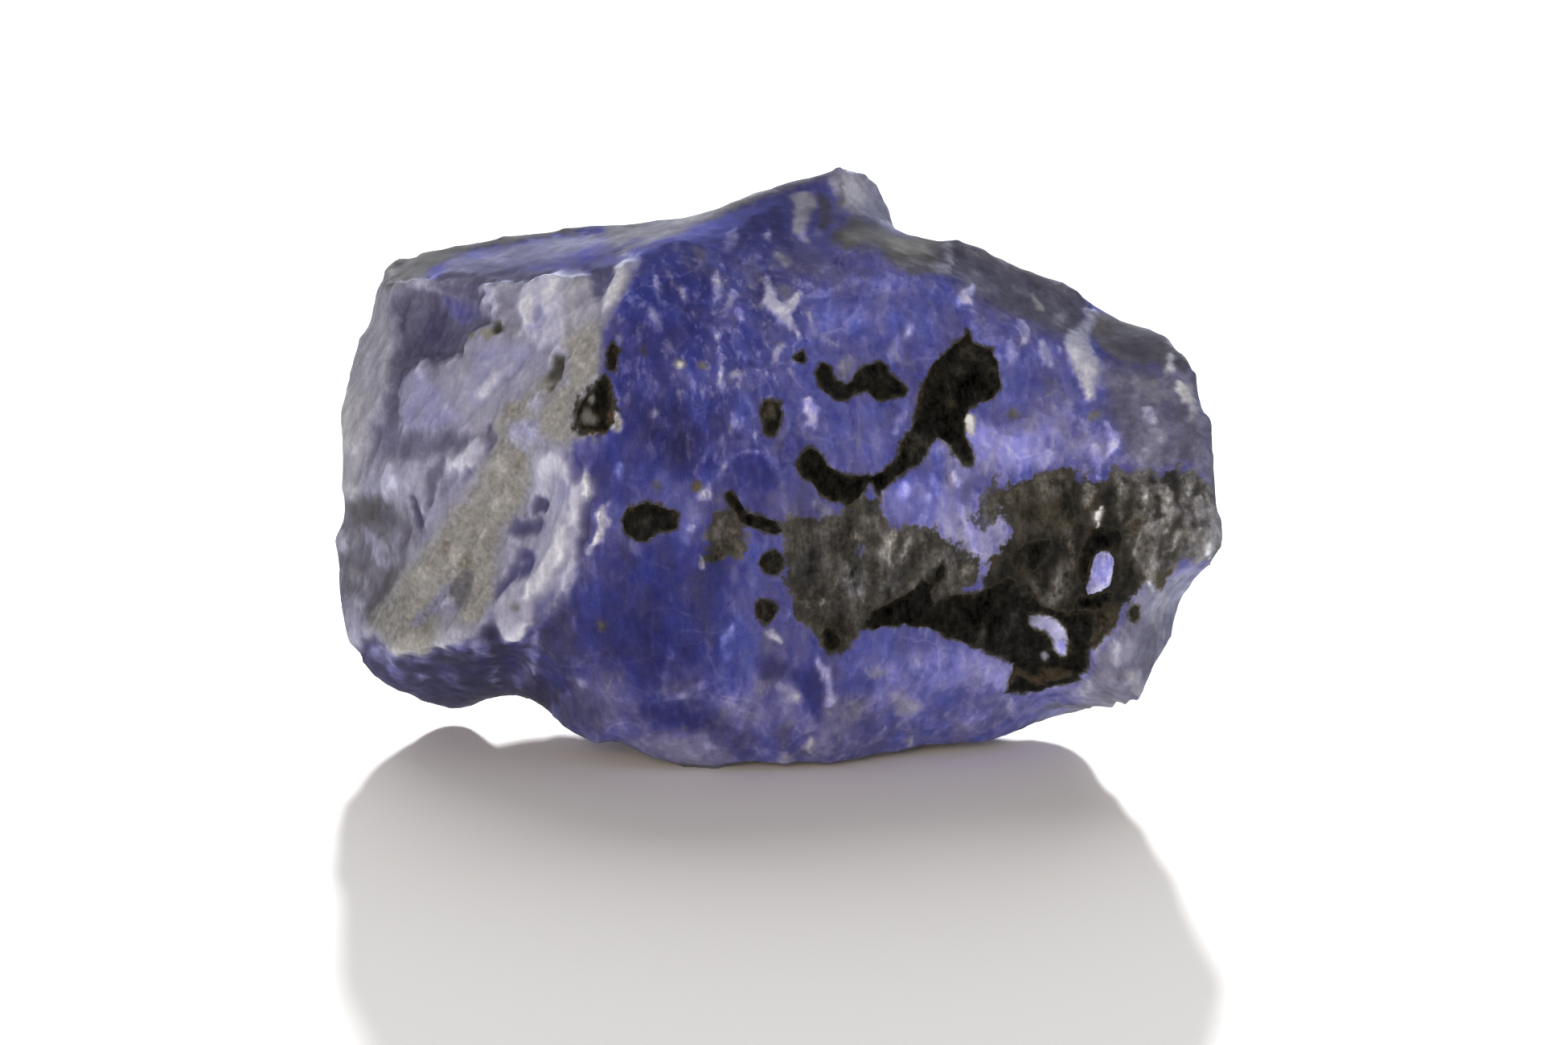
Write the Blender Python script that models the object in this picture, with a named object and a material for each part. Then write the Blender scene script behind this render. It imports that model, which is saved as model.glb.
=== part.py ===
"""Rough iolite: one broken, unpolished crystal fragment, resting on a small flat spot.

The stone is drawn as a cage of points. Each point of the front is given where it
is seen from the front (U to the right, V downwards, on a plate of 1950 x 1300
units, with the eye 15 degrees above the horizontal) together with its depth Y in
millimetres (positive is away from the viewer). The back and the underside are
given directly as X, Y, Z in millimetres. The outline is shared by both sheets, so
they close into one body. Fracture facets are then cut into it, and it is
set down on its flat spot.

Units in the tables: millimetres. The finished object is in metres, +Z up, with
its origin under the middle of its box, on the surface it rests on.
"""

import math

import bmesh
import bpy
import numpy as np
from mathutils import Vector
from mathutils.geometry import delaunay_2d_cdt

# ---------------------------------------------------------------- dimensions
WIDTH_MM = 22.0             # longest extent of the stone, left to right
PLATE_UNITS_WIDE = 1110.0   # the same extent in plate units
MM = WIDTH_MM / PLATE_UNITS_WIDE
EYE_ELEVATION = math.radians(15.0)
EYE_DISTANCE = 600.0        # millimetres
PLATE_CENTRE = (975.0, 650.0)
GROUND_DROP = 5.42          # millimetres from the plate's centre down to the contact
TRIANGLES = 6800            # of the finished faceted solid
REST_LEVEL_MM = 0.06        # everything of the cage below this is worn off: the flat spot
REST_MIDDLE, REST_REACH = (0.3, 0.2), (4.4, 4.2)   # where no chips are cut around it

SIN_E, COS_E = math.sin(EYE_ELEVATION), math.cos(EYE_ELEVATION)


def from_plate(u, v, y):
    """The point at depth y that is seen at (u, v)."""
    right = (u - PLATE_CENTRE[0]) * MM
    up = (PLATE_CENTRE[1] - v) * MM
    w = (up * SIN_E - y) / (COS_E + up * SIN_E / EYE_DISTANCE)
    k = 1.0 - w / EYE_DISTANCE
    return Vector((right * k, y, up * k * COS_E + w * SIN_E + GROUND_DROP))


def to_plate(x, y, z):
    """Where the point (x, y, z) is seen, in millimetres on the plate."""
    z = z - GROUND_DROP
    w = -y * COS_E + z * SIN_E
    k = 1.0 - w / EYE_DISTANCE
    return Vector((x / k, (y * SIN_E + z * COS_E) / k))


# ---------------------------------------------------------------- the outline
# clockwise from the top left corner: U, V, depth Y in mm
OUTLINE = [
    (474, 322, 3.4), (500, 320, 3.2), (520, 314, 3.0), (540, 308, 2.8),
    (560, 303, 2.6), (600, 294, 2.4), (640, 288, 2.2), (680, 283, 2.1),
    (720, 276, 2.0), (760, 275, 1.9), (800, 274, 1.9), (830, 269, 1.7),
    (860, 267, 1.3), (880, 260, 1.1), (900, 251, 1.1), (920, 242, 1.1),
    (940, 232, 1.3), (960, 230, 1.5), (980, 221, 1.7), (1000, 216, 1.9),
    (1020, 211, 2.1), (1040, 203, 2.3), (1055, 200, 2.5), (1070, 204, 2.6),
    (1085, 212, 2.7), (1095, 225, 2.7), (1102, 245, 2.7), (1108, 265, 2.6),
    (1112, 283, 2.3), (1125, 286, 1.2), (1140, 289, 0.9), (1160, 297, 0.7),
    (1180, 296, 0.8), (1200, 296, 0.9), (1215, 300, 0.9), (1230, 312, 0.9),
    (1255, 324, 1.0), (1270, 330, 1.0), (1290, 336, 1.1), (1310, 342, 1.2),
    (1330, 350, 1.3), (1345, 362, 1.3), (1358, 376, 1.2), (1385, 388, 1.1),
    (1400, 397, 1.0), (1420, 405, 0.8), (1435, 404, 0.7), (1450, 412, 0.4),
    (1465, 425, 0.0), (1480, 437, -0.4), (1488, 450, -0.7), (1492, 480, -1.2),
    (1497, 497, -1.5), (1505, 515, -1.9), (1511, 535, -2.2), (1514, 580, -2.9),
    (1519, 620, -3.5), (1523, 640, -3.8), (1525, 660, -4.0), (1523, 680, -4.2),
    (1518, 700, -4.1), (1505, 712, -3.7), (1485, 728, -3.1), (1475, 740, -2.8),
    (1468, 755, -2.6), (1464, 780, -2.8), (1458, 800, -3.0), (1448, 815, -3.1),
    (1440, 830, -3.3), (1435, 850, -3.4), (1428, 868, -3.5), (1415, 880, -3.4),
    (1400, 881, -2.9), (1380, 885, -1.9), (1340, 890, -0.3), (1320, 895, 0.0),
    (1300, 900, -0.3), (1285, 907, -0.8), (1270, 915, -1.2), (1240, 921, -1.6),
    (1220, 925, -1.7), (1200, 929, -1.8), (1160, 928, -2.1), (1140, 932, -2.2),
    (1120, 938, -2.4), (1100, 942, -2.6), (1080, 946, -2.8), (1060, 950, -3.0),
    (1040, 954, -3.2), (1020, 951, -3.3), (1000, 950, -3.4), (985, 954, -3.5),
    (970, 960, -3.5), (955, 950, -3.5), (940, 949, -3.5), (920, 951, -3.5),
    (905, 958, -3.5), (890, 960, -3.5), (870, 959, -3.4), (850, 958, -3.4),
    (830, 953, -3.4), (810, 948, -3.4), (790, 938, -3.4), (775, 930, -3.4),
    (760, 926, -3.3), (750, 928, -3.3), (735, 931, -3.2), (720, 922, -3.1),
    (705, 914, -2.8), (690, 902, -2.5), (680, 893, -2.1), (668, 888, -1.7),
    (660, 877, -1.0), (645, 870, -0.5), (630, 867, 0.0), (620, 870, 0.4),
    (605, 877, 0.8), (590, 885, 1.1), (570, 890, 1.2), (540, 884, 1.0),
    (520, 874, 0.8), (500, 866, 0.6), (480, 858, 0.5), (460, 842, 0.2),
    (447, 832, 0.0), (440, 820, 0.0), (435, 800, 0.2), (428, 780, 0.3),
    (420, 760, 0.5), (416, 745, 0.6), (415, 720, 0.8), (415, 690, 1.0),
    (416, 660, 0.9), (420, 645, 0.7), (428, 635, 0.6), (424, 620, 0.6),
    (423, 600, 0.7), (423, 580, 0.8), (424, 560, 0.9), (423, 540, 1.0),
    (422, 520, 1.2), (423, 500, 1.5), (426, 480, 1.8), (430, 460, 2.0),
    (436, 445, 2.1), (440, 428, 2.2), (450, 412, 2.3), (459, 398, 2.4),
    (462, 380, 2.6), (465, 360, 2.9), (468, 345, 3.1),
]

# How blunt the rim is: at these places on the outline, how many mm the surface has
# swung toward the viewer and away from the viewer RIM_INSET units inside it.
RIM_INSET = 17.0
RIM = [
    (474, 322, 0.35, 1.0), (640, 288, 0.60, 1.1), (830, 269, 0.60, 1.2),
    (960, 230, 0.50, 1.0), (1055, 200, 0.35, 0.9), (1112, 283, 0.40, 0.9),
    (1230, 312, 0.60, 1.2), (1400, 397, 0.60, 1.2), (1488, 450, 0.60, 1.4),
    (1514, 580, 0.60, 1.0), (1525, 660, 0.50, 1.0), (1475, 740, 0.45, 0.9),
    (1435, 850, 0.40, 0.9), (1340, 890, 0.50, 1.3), (1200, 929, 0.50, 1.3),
    (970, 960, 0.45, 1.35), (735, 931, 0.50, 1.3), (620, 870, 0.50, 1.2),
    (500, 866, 0.50, 1.3), (435, 800, 0.40, 1.7), (415, 690, 0.40, 2.0),
    (423, 540, 0.40, 2.0), (459, 398, 0.40, 1.5),
]

# ------------------------------------------------- ridges of the front, as lines
FRONT_RIDGES = {
    # pale cleaved left face against the violet front face, top to bottom
    "main": [(845, 290, -1.4), (820, 302, -1.9), (800, 315, -2.4), (785, 350, -3.1),
             (765, 380, -3.6), (750, 410, -4.0), (742, 470, -4.5), (738, 500, -4.6),
             (715, 535, -4.7), (702, 560, -4.7), (728, 590, -5.0), (735, 640, -5.2),
             (742, 685, -5.2), (715, 702, -5.0), (708, 740, -4.8), (690, 765, -4.6)],
    # lower edge of the left face, above the dark undercut
    "undercut": [(690, 765, -4.6), (660, 780, -4.3), (640, 795, -4.1), (590, 800, -3.6),
                 (560, 802, -3.3), (535, 808, -2.8), (500, 820, -2.2), (470, 800, -1.5),
                 (448, 812, -0.5)],
    # front edge of the narrow top facet
    "brow": [(478, 344, 1.6), (520, 345, 0.6), (560, 345, -0.1), (600, 343, -0.8),
             (640, 340, -1.3), (700, 335, -1.8), (760, 324, -2.1), (800, 315, -2.4)],
    # upright edge between the narrow pale strip at the far left and the left face
    "strip": [(489, 372, 1.0), (486, 410, 0.3), (487, 450, -0.2), (488, 500, -0.6),
              (480, 545, -0.7), (470, 590, -0.5), (462, 640, -0.3)],
    # inner edge of the bevel along the top right
    "bevel": [(1052, 300, -1.0), (1100, 318, -1.2), (1150, 340, -1.4), (1200, 364, -1.4),
              (1250, 390, -1.4), (1300, 412, -1.2), (1345, 432, -1.3)],
    # front of the tooth, where it stands on the front face
    "tooth": [(985, 262, 0.4), (1005, 292, -0.3), (1030, 277, 0.0), (1066, 276, 0.4),
              (1098, 284, 0.8)],
    # lower right facet against the front face
    "heel": [(1500, 700, -4.4), (1452, 716, -4.6), (1414, 748, -4.5), (1398, 800, -4.2),
             (1378, 850, -3.9)],
}

# -------------------------------------------------- other points of the front
FRONT_POINTS = [
    # narrow pale strip at the far left
    (450, 440, 1.2), (448, 500, 0.6), (446, 560, 0.3), (442, 605, 0.2),
    # left face: the hollow at its top, and the slabs that step down from it
    (520, 366, 0.3), (560, 364, -0.2), (600, 384, -1.2), (548, 400, -0.2),
    (515, 430, -0.3), (512, 470, -0.8), (560, 440, -1.3), (590, 420, -1.6),
    (650, 368, -1.9), (700, 362, -2.5), (745, 350, -2.8), (700, 400, -2.9),
    (640, 405, -2.1), (620, 450, -2.4), (560, 490, -2.0), (520, 520, -1.8),
    (600, 510, -2.6), (660, 455, -3.0), (700, 440, -3.5), (690, 500, -3.9),
    (650, 530, -3.5), (560, 560, -2.4), (510, 580, -1.8), (610, 580, -3.2),
    (665, 590, -3.9), (700, 620, -4.7), (640, 650, -3.5), (580, 640, -2.8),
    (520, 640, -2.0), (490, 690, -1.6), (555, 700, -2.7), (615, 700, -3.5),
    (670, 690, -4.3), (660, 735, -4.2), (600, 750, -3.5), (545, 752, -2.7),
    (490, 745, -1.7), (450, 700, -0.2), (445, 755, -0.3), (500, 785, -2.0),
    (620, 772, -3.8),
    # dark undercut below the left face
    (500, 845, -0.5), (560, 845, -1.2), (615, 835, -2.5), (670, 825, -3.5),
    (650, 852, -2.4), (600, 862, -0.6), (700, 830, -4.2),
    # top sliver between the brow and the outline
    (560, 325, 1.0), (640, 315, 0.5), (720, 305, 0.1), (790, 295, -0.2),
    # upper front face, under the top edge
    (880, 288, -0.9), (930, 266, -0.2), (960, 250, 0.6), (1010, 240, 1.3),
    (1050, 232, 1.7), (1080, 250, 1.8), (850, 330, -2.7), (900, 325, -2.2),
    (960, 320, -1.6), (1015, 325, -1.5), (960, 365, -2.6), (1010, 372, -2.5),
    (1120, 302, -0.3), (1170, 318, -0.4), (1230, 348, -0.3), (1290, 374, -0.1),
    (1345, 398, 0.2), (1400, 430, -0.3), (1440, 440, -0.6),
    # middle of the front face
    (815, 400, -4.0), (880, 400, -3.7), (950, 420, -3.5), (1010, 430, -3.3),
    (1075, 400, -2.7), (1150, 400, -2.4), (1110, 360, -1.9), (1205, 420, -2.2),
    (1270, 440, -2.1), (1320, 470, -2.0), (1370, 460, -1.5), (1420, 480, -1.9),
    (1460, 490, -1.9),
    (800, 480, -4.7), (870, 480, -4.6), (940, 500, -4.4), (1010, 510, -4.1),
    (1080, 490, -3.7), (1150, 490, -3.3), (1220, 500, -2.9), (1290, 520, -2.7),
    (1360, 530, -2.6), (1420, 545, -2.9), (1470, 550, -2.9),
    (770, 560, -5.1), (840, 560, -5.1), (910, 570, -5.0), (990, 580, -4.8),
    (1060, 570, -4.5), (1130, 570, -4.1), (1200, 570, -3.7), (1270, 590, -3.5),
    (1340, 600, -3.5), (1400, 610, -3.8), (1455, 610, -3.9), (1495, 610, -3.8),
    (790, 640, -5.5), (860, 640, -5.4), (930, 645, -5.3), (1000, 650, -5.1),
    (1070, 640, -4.8), (1140, 645, -4.4), (1210, 650, -4.1), (1280, 660, -4.0),
    (1350, 670, -4.2), (1410, 670, -4.5), (1460, 660, -4.6),
    (765, 720, -5.4), (830, 720, -5.6), (900, 720, -5.5), (970, 725, -5.3),
    (1040, 720, -5.0), (1110, 720, -4.7), (1180, 725, -4.3), (1250, 735, -4.1),
    (1320, 740, -4.2), (1375, 735, -4.4),
    (740, 790, -5.0), (800, 790, -5.3), (870, 795, -5.4), (940, 800, -5.3),
    (1010, 795, -5.0), (1080, 795, -4.7), (1150, 800, -4.3), (1220, 800, -3.8),
    (1290, 800, -3.6), (1350, 795, -3.9),
    # lower right facet
    (1470, 715, -4.3), (1440, 760, -3.9), (1432, 800, -3.9), (1410, 845, -3.9),
    # where the front face turns under
    (735, 850, -4.4), (790, 860, -4.8), (860, 865, -4.9), (930, 870, -4.9),
    (1000, 870, -4.7), (1070, 865, -4.3), (1140, 865, -3.8), (1210, 860, -3.3),
    (1280, 855, -3.0), (1340, 850, -3.0), (735, 895, -3.8), (790, 910, -4.1),
    (850, 925, -4.2), (910, 928, -4.3), (970, 930, -4.3), (1030, 925, -4.1),
    (1090, 915, -3.6), (1160, 900, -3.0), (1230, 895, -2.6), (1300, 880, -1.6),
]

# --------------------------------------- ridges of the back, X, Y, Z in millimetres
BACK_RIDGES = {
    "spine": [(-9.4, 4.2, 9.4), (-7.4, 4.9, 9.8), (-4.6, 4.9, 10.2), (-2.0, 5.5, 10.9),
              (0.8, 5.6, 11.2), (3.2, 5.2, 10.0), (5.8, 4.9, 8.7), (7.6, 4.2, 7.9)],
    "keel": [(-2.0, 5.5, 10.9), (-2.5, 6.4, 8.2), (-1.5, 7.0, 5.6), (-0.4, 6.8, 3.0),
             (0.4, 6.0, 0.7)],
    "left_edge": [(-9.4, 4.2, 9.4), (-9.6, 4.3, 7.0), (-9.4, 4.1, 4.6), (-8.2, 4.2, 1.5)],
    "right_edge": [(5.8, 4.9, 8.7), (6.6, 5.2, 6.2), (6.2, 5.0, 3.8), (5.6, 4.6, 1.5)],
    "back_foot": [(-8.2, 4.2, 1.5), (-5.6, 5.0, 0.8), (-2.6, 5.7, 0.7), (0.4, 6.0, 0.7),
                  (3.2, 5.4, 0.8), (5.6, 4.6, 1.5), (7.2, 3.0, 2.3)],
}

BACK_POINTS = [
    # shoulder behind the top edge
    (-8.6, 4.3, 10.3), (-5.6, 4.0, 11.0), (-2.6, 3.9, 11.5), (0.2, 4.2, 12.3),
    (2.2, 4.5, 11.8), (5.0, 3.5, 10.6), (7.4, 3.7, 9.3), (-7.2, 4.0, 10.8),
    (-4.0, 3.4, 11.6), (3.6, 4.1, 11.3), (6.3, 3.7, 9.9),
    # left panel
    (-8.0, 4.6, 7.4), (-5.4, 5.5, 7.6), (-7.6, 5.0, 4.6), (-4.9, 6.0, 4.7),
    (-5.4, 5.9, 2.7), (-3.4, 6.1, 6.6),
    # far left, round the corner
    (-10.3, 2.8, 6.6), (-10.1, 2.7, 4.2), (-9.3, 2.6, 2.5), (-10.1, 3.6, 8.4),
    # right panel
    (1.2, 6.6, 8.4), (4.2, 5.9, 7.9), (2.2, 6.8, 5.4), (4.9, 6.0, 5.0),
    (2.6, 6.4, 2.6), (4.6, 5.6, 2.6),
    # far right, round the corner
    (8.0, 3.9, 5.7), (7.5, 3.6, 3.6), (9.2, 1.4, 5.2), (8.4, 1.2, 3.7),
    (9.3, 1.8, 6.8), (8.6, 2.8, 8.2),
    # underside, from the left to the right; its middle is the flat spot
    (-7.6, 2.3, 0.7), (-6.4, 0.8, 0.6), (-5.6, 2.8, 0.25), (-4.2, -0.9, 0.5),
    (-3.2, 1.6, 0.0), (-2.5, -0.9, -0.1), (-2.2, 3.3, 0.0), (-0.6, -1.0, -0.15),
    (-0.8, 0.8, -0.2), (0.6, 3.6, -0.05), (1.7, -0.7, -0.15), (1.8, 1.2, -0.2),
    (3.4, 2.7, 0.0), (3.4, 0.6, -0.1), (5.4, 1.2, 0.5), (7.3, 1.4, 1.3),
    (0.4, 2.4, -0.18),
]


# ------------------------------------------------------------ repeatable scatter
def scatter(cells, seed, count):
    """Numbers from 0 to 1 that depend only on the whole-number cell and the seed."""
    c = cells.astype(np.int64)
    h = (c[..., 0] * 73856093) ^ (c[..., 1] * 19349663) ^ (c[..., 2] * 83492791)
    h = (h + seed * 2654435761) & 0xFFFFFFFF
    out = []
    for k in range(count):
        h = (h ^ (h >> 16)) * 0x45D9F3B & 0xFFFFFFFF
        h = (h ^ (h >> 15)) * 0x2C1B3C6D & 0xFFFFFFFF
        h = (h ^ (h >> 13)) & 0xFFFFFFFF
        out.append((h & 0xFFFFFF) / float(0x1000000))
        h = (h + 0x9E3779B9 + k) & 0xFFFFFFFF
    return np.stack(out, axis=-1)


def chips(points, size, seed, lean=(0.0, 0.0, 1.0), stretch=1.0, tilt=0.55):
    """Shallow shell-shaped chips that meet in sharp edges: the height of the lowest
    of many tilted bowls scattered `size` apart, drawn out along `lean`."""
    axis = np.array(lean, dtype=float)
    axis /= np.linalg.norm(axis)
    along = points @ axis
    q = (points - np.outer(along, axis) * (1.0 - 1.0 / stretch)) / size
    base = np.floor(q)
    best = np.full(len(q), 9.0)
    for dx in (-1, 0, 1):
        for dy in (-1, 0, 1):
            for dz in (-1, 0, 1):
                cell = base + (dx, dy, dz)
                r = scatter(cell, seed, 7)
                d = q - cell - r[:, :3]
                bowl = (d * d).sum(1) + tilt * (d * (r[:, 3:6] * 2 - 1)).sum(1) \
                    + 0.35 * r[:, 6]
                best = np.minimum(best, bowl)
    return best


# -------------------------------------------------------------------- the cage
def sheet(ring, ridges, points):
    """Triangles over one side of the outline. Returns places in the list of all
    points given, with the ridge lines kept as edges."""
    flat = list(ring)
    found = {}
    edges = []
    for line in ridges:
        last = None
        for p in line:
            key = (round(p[0], 4), round(p[1], 4))
            if key not in found:
                found[key] = len(flat)
                flat.append(Vector(p))
            if last is not None:
                edges.append((last, found[key]))
            last = found[key]
    flat += [Vector(p) for p in points]
    loop = [list(range(len(ring)))]
    verts, _, faces, back, _, _ = delaunay_2d_cdt(flat, edges, loop, 1, 1e-6)
    if len(verts) != len(flat):
        raise ValueError(f"the cage's lines cross: {len(verts)} against {len(flat)}")
    order = [b[0] for b in back]
    return [[order[i] for i in f] for f in faces], edges


def within(p, loop):
    inside = False
    for a, b in zip(loop, loop[1:] + loop[:1]):
        if (a.y > p.y) != (b.y > p.y):
            if p.x < a.x + (b.x - a.x) * (p.y - a.y) / (b.y - a.y):
                inside = not inside
    return inside


def bluntness(which):
    """The rim's swing in depth at each point of the outline: 0 front, 1 back."""
    n = len(OUTLINE)
    stops = []
    for u, v, front, back in RIM:
        near = min(range(n), key=lambda i: (OUTLINE[i][0] - u) ** 2 + (OUTLINE[i][1] - v) ** 2)
        stops.append((near, (front, back)[which]))
    stops.sort()
    stops = [(stops[-1][0] - n, stops[-1][1])] + stops + [(stops[0][0] + n, stops[0][1])]
    out = []
    for i in range(n):
        for (a, va), (b, vb) in zip(stops, stops[1:]):
            if a <= i <= b and b > a:
                out.append(va + (vb - va) * (i - a) / (b - a))
                break
    return out


def rim_points(ring2, taken, which):
    """Points just inside the outline that make its rim blunt, on the plate and in
    space. They keep clear of the points already taken."""
    n = len(ring2)
    swing = bluntness(which)
    out = []
    for i in range(n):
        along = (ring2[(i + 1) % n] - ring2[i - 1]).normalized()
        inward = Vector((along.y, -along.x))
        p = ring2[i] + inward * (RIM_INSET * MM)
        clear_of_ring = min((p - q).length for q in ring2) > 0.72 * RIM_INSET * MM
        clear_of_rest = min((p - q).length for q in taken) > 1.1 * RIM_INSET * MM
        apart = not out or min((p - q).length for q, _ in out) > 0.7 * RIM_INSET * MM
        if clear_of_ring and clear_of_rest and apart and within(p, ring2):
            y = OUTLINE[i][2] + (swing[i] if which else -swing[i])
            u = PLATE_CENTRE[0] + p.x / MM
            v = PLATE_CENTRE[1] - p.y / MM
            out.append((p, from_plate(u, v, y)))
    return out


def cage():
    """The closed cage as a bmesh, in millimetres, ridges marked as sharp edges."""
    bm = bmesh.new()
    plate = lambda u, v: Vector(((u - PLATE_CENTRE[0]) * MM, (PLATE_CENTRE[1] - v) * MM))
    ring2 = [plate(u, v) for u, v, _ in OUTLINE]
    ring3 = [bm.verts.new(from_plate(*p)) for p in OUTLINE]
    sharp = []

    def side(lines2, points2, lines3, points3, toward_viewer):
        faces, edges = sheet(ring2, lines2, points2)
        verts = list(ring3)
        seen = set()
        for l2, l3 in zip(lines2, lines3):
            for p2, p3 in zip(l2, l3):
                key = (round(p2[0], 4), round(p2[1], 4))
                if key not in seen:
                    seen.add(key)
                    verts.append(bm.verts.new(p3))
        verts += [bm.verts.new(p) for p in points3]
        for f in faces:
            corner = [verts[i] for i in f]
            normal = (corner[1].co - corner[0].co).cross(corner[2].co - corner[0].co)
            eye = Vector((0.0, -COS_E, SIN_E))
            if (normal.dot(eye) > 0) != toward_viewer:
                corner.reverse()
            if max(f) < len(ring3):
                # an ear of the outline: swelled a little, so the two sheets don't touch
                middle = (corner[0].co + corner[1].co + corner[2].co) / 3
                middle += eye * (0.12 if toward_viewer else -0.12)
                tip = bm.verts.new(middle)
                for i in range(3):
                    bm.faces.new((corner[i], corner[(i + 1) % 3], tip))
            else:
                bm.faces.new(corner)
        sharp.extend((verts[a], verts[b]) for a, b in edges)

    front = list(FRONT_RIDGES.values())
    lines = [[plate(u, v) for u, v, _ in line] for line in front]
    points = [plate(u, v) for u, v, _ in FRONT_POINTS]
    rim = rim_points(ring2, [p for line in lines for p in line] + points, 0)
    side(lines, points + [p for p, _ in rim],
         [[from_plate(*p) for p in line] for line in front],
         [from_plate(*p) for p in FRONT_POINTS] + [p for _, p in rim], True)
    back = list(BACK_RIDGES.values())
    lines = [[to_plate(*p) for p in line] for line in back]
    points = [to_plate(*p) for p in BACK_POINTS]
    rim = rim_points(ring2, [p for line in lines for p in line] + points, 1)
    side(lines, points + [p for p, _ in rim],
         [[Vector(p) for p in line] for line in back],
         [Vector(p) for p in BACK_POINTS] + [p for _, p in rim], False)
    unused = [v for v in bm.verts if not v.link_faces]
    if unused:
        raise ValueError(f"{len(unused)} points of the cage lie outside the outline")
    for e in bm.edges:
        e.smooth = True
    for a, b in sharp:
        e = bm.edges.get((a, b))
        if e:
            e.smooth = False
    # the outline is held in place too
    n = len(OUTLINE)
    for i in range(n):
        bm.edges.get((ring3[i], ring3[(i + 1) % n])).smooth = False
    # long thin triangles where the surface runs away from the eye are turned
    bm.normal_update()
    turn = [e for e in bm.edges if e.smooth and len(e.link_faces) == 2
            and e.calc_face_angle(3.0) < 0.6]
    bmesh.ops.beautify_fill(bm, faces=bm.faces[:], edges=turn, method="ANGLE")
    return bm


def refined(bm, rounds, softening):
    """The cage cut finer, with the creases between its flat triangles eased but
    the marked ridges kept."""
    for _ in range(rounds):
        bmesh.ops.subdivide_edges(bm, edges=bm.edges[:], cuts=1, use_grid_fill=True)
        bmesh.ops.triangulate(bm, faces=[f for f in bm.faces if len(f.verts) > 3])
    for _ in range(softening):
        moved = {}
        for v in bm.verts:
            ridge = [e for e in v.link_edges if not e.smooth]
            if len(ridge) == 2:
                mid = (ridge[0].other_vert(v).co + ridge[1].other_vert(v).co) / 2
                moved[v] = v.co.lerp(mid, 0.12)
            elif not ridge:
                mid = Vector((0.0, 0.0, 0.0))
                for e in v.link_edges:
                    mid += e.other_vert(v).co
                moved[v] = v.co.lerp(mid / len(v.link_edges), 0.5)
        for v, co in moved.items():
            v.co = co


def evaluated(name, mesh, **settings):
    """The mesh after one modifier."""
    obj = bpy.data.objects.new(name, mesh)
    bpy.context.collection.objects.link(obj)
    kind = settings.pop("kind")
    mod = obj.modifiers.new(kind.title(), kind)
    for key, value in settings.items():
        setattr(mod, key, value)
    graph = bpy.context.evaluated_depsgraph_get()
    graph.update()
    out = bpy.data.meshes.new_from_object(obj.evaluated_get(graph))
    bpy.data.objects.remove(obj)
    return out


def coordinates(mesh):
    co = np.empty(len(mesh.vertices) * 3)
    mesh.vertices.foreach_get("co", co)
    return co.reshape(-1, 3)


def normals(mesh):
    no = np.empty(len(mesh.vertices) * 3)
    mesh.vertices.foreach_get("normal", no)
    return no.reshape(-1, 3)


def from_outline(points):
    """How far each point is seen inside the outline, in millimetres on the plate."""
    z = points[:, 2] - GROUND_DROP
    w = -points[:, 1] * COS_E + z * SIN_E
    k = 1.0 - w / EYE_DISTANCE
    p = np.stack((points[:, 0] / k, (points[:, 1] * SIN_E + z * COS_E) / k), axis=1)
    ring = np.array([((u - PLATE_CENTRE[0]) * MM, (PLATE_CENTRE[1] - v) * MM)
                     for u, v, _ in OUTLINE])
    best = np.full(len(p), 99.0)
    for a, b in zip(ring, np.roll(ring, -1, axis=0)):
        t = np.clip(((p - a) @ (b - a)) / ((b - a) @ (b - a)), 0.0, 1.0)
        best = np.minimum(best, np.hypot(*(p - a - t[:, None] * (b - a)).T))
    return best


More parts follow.
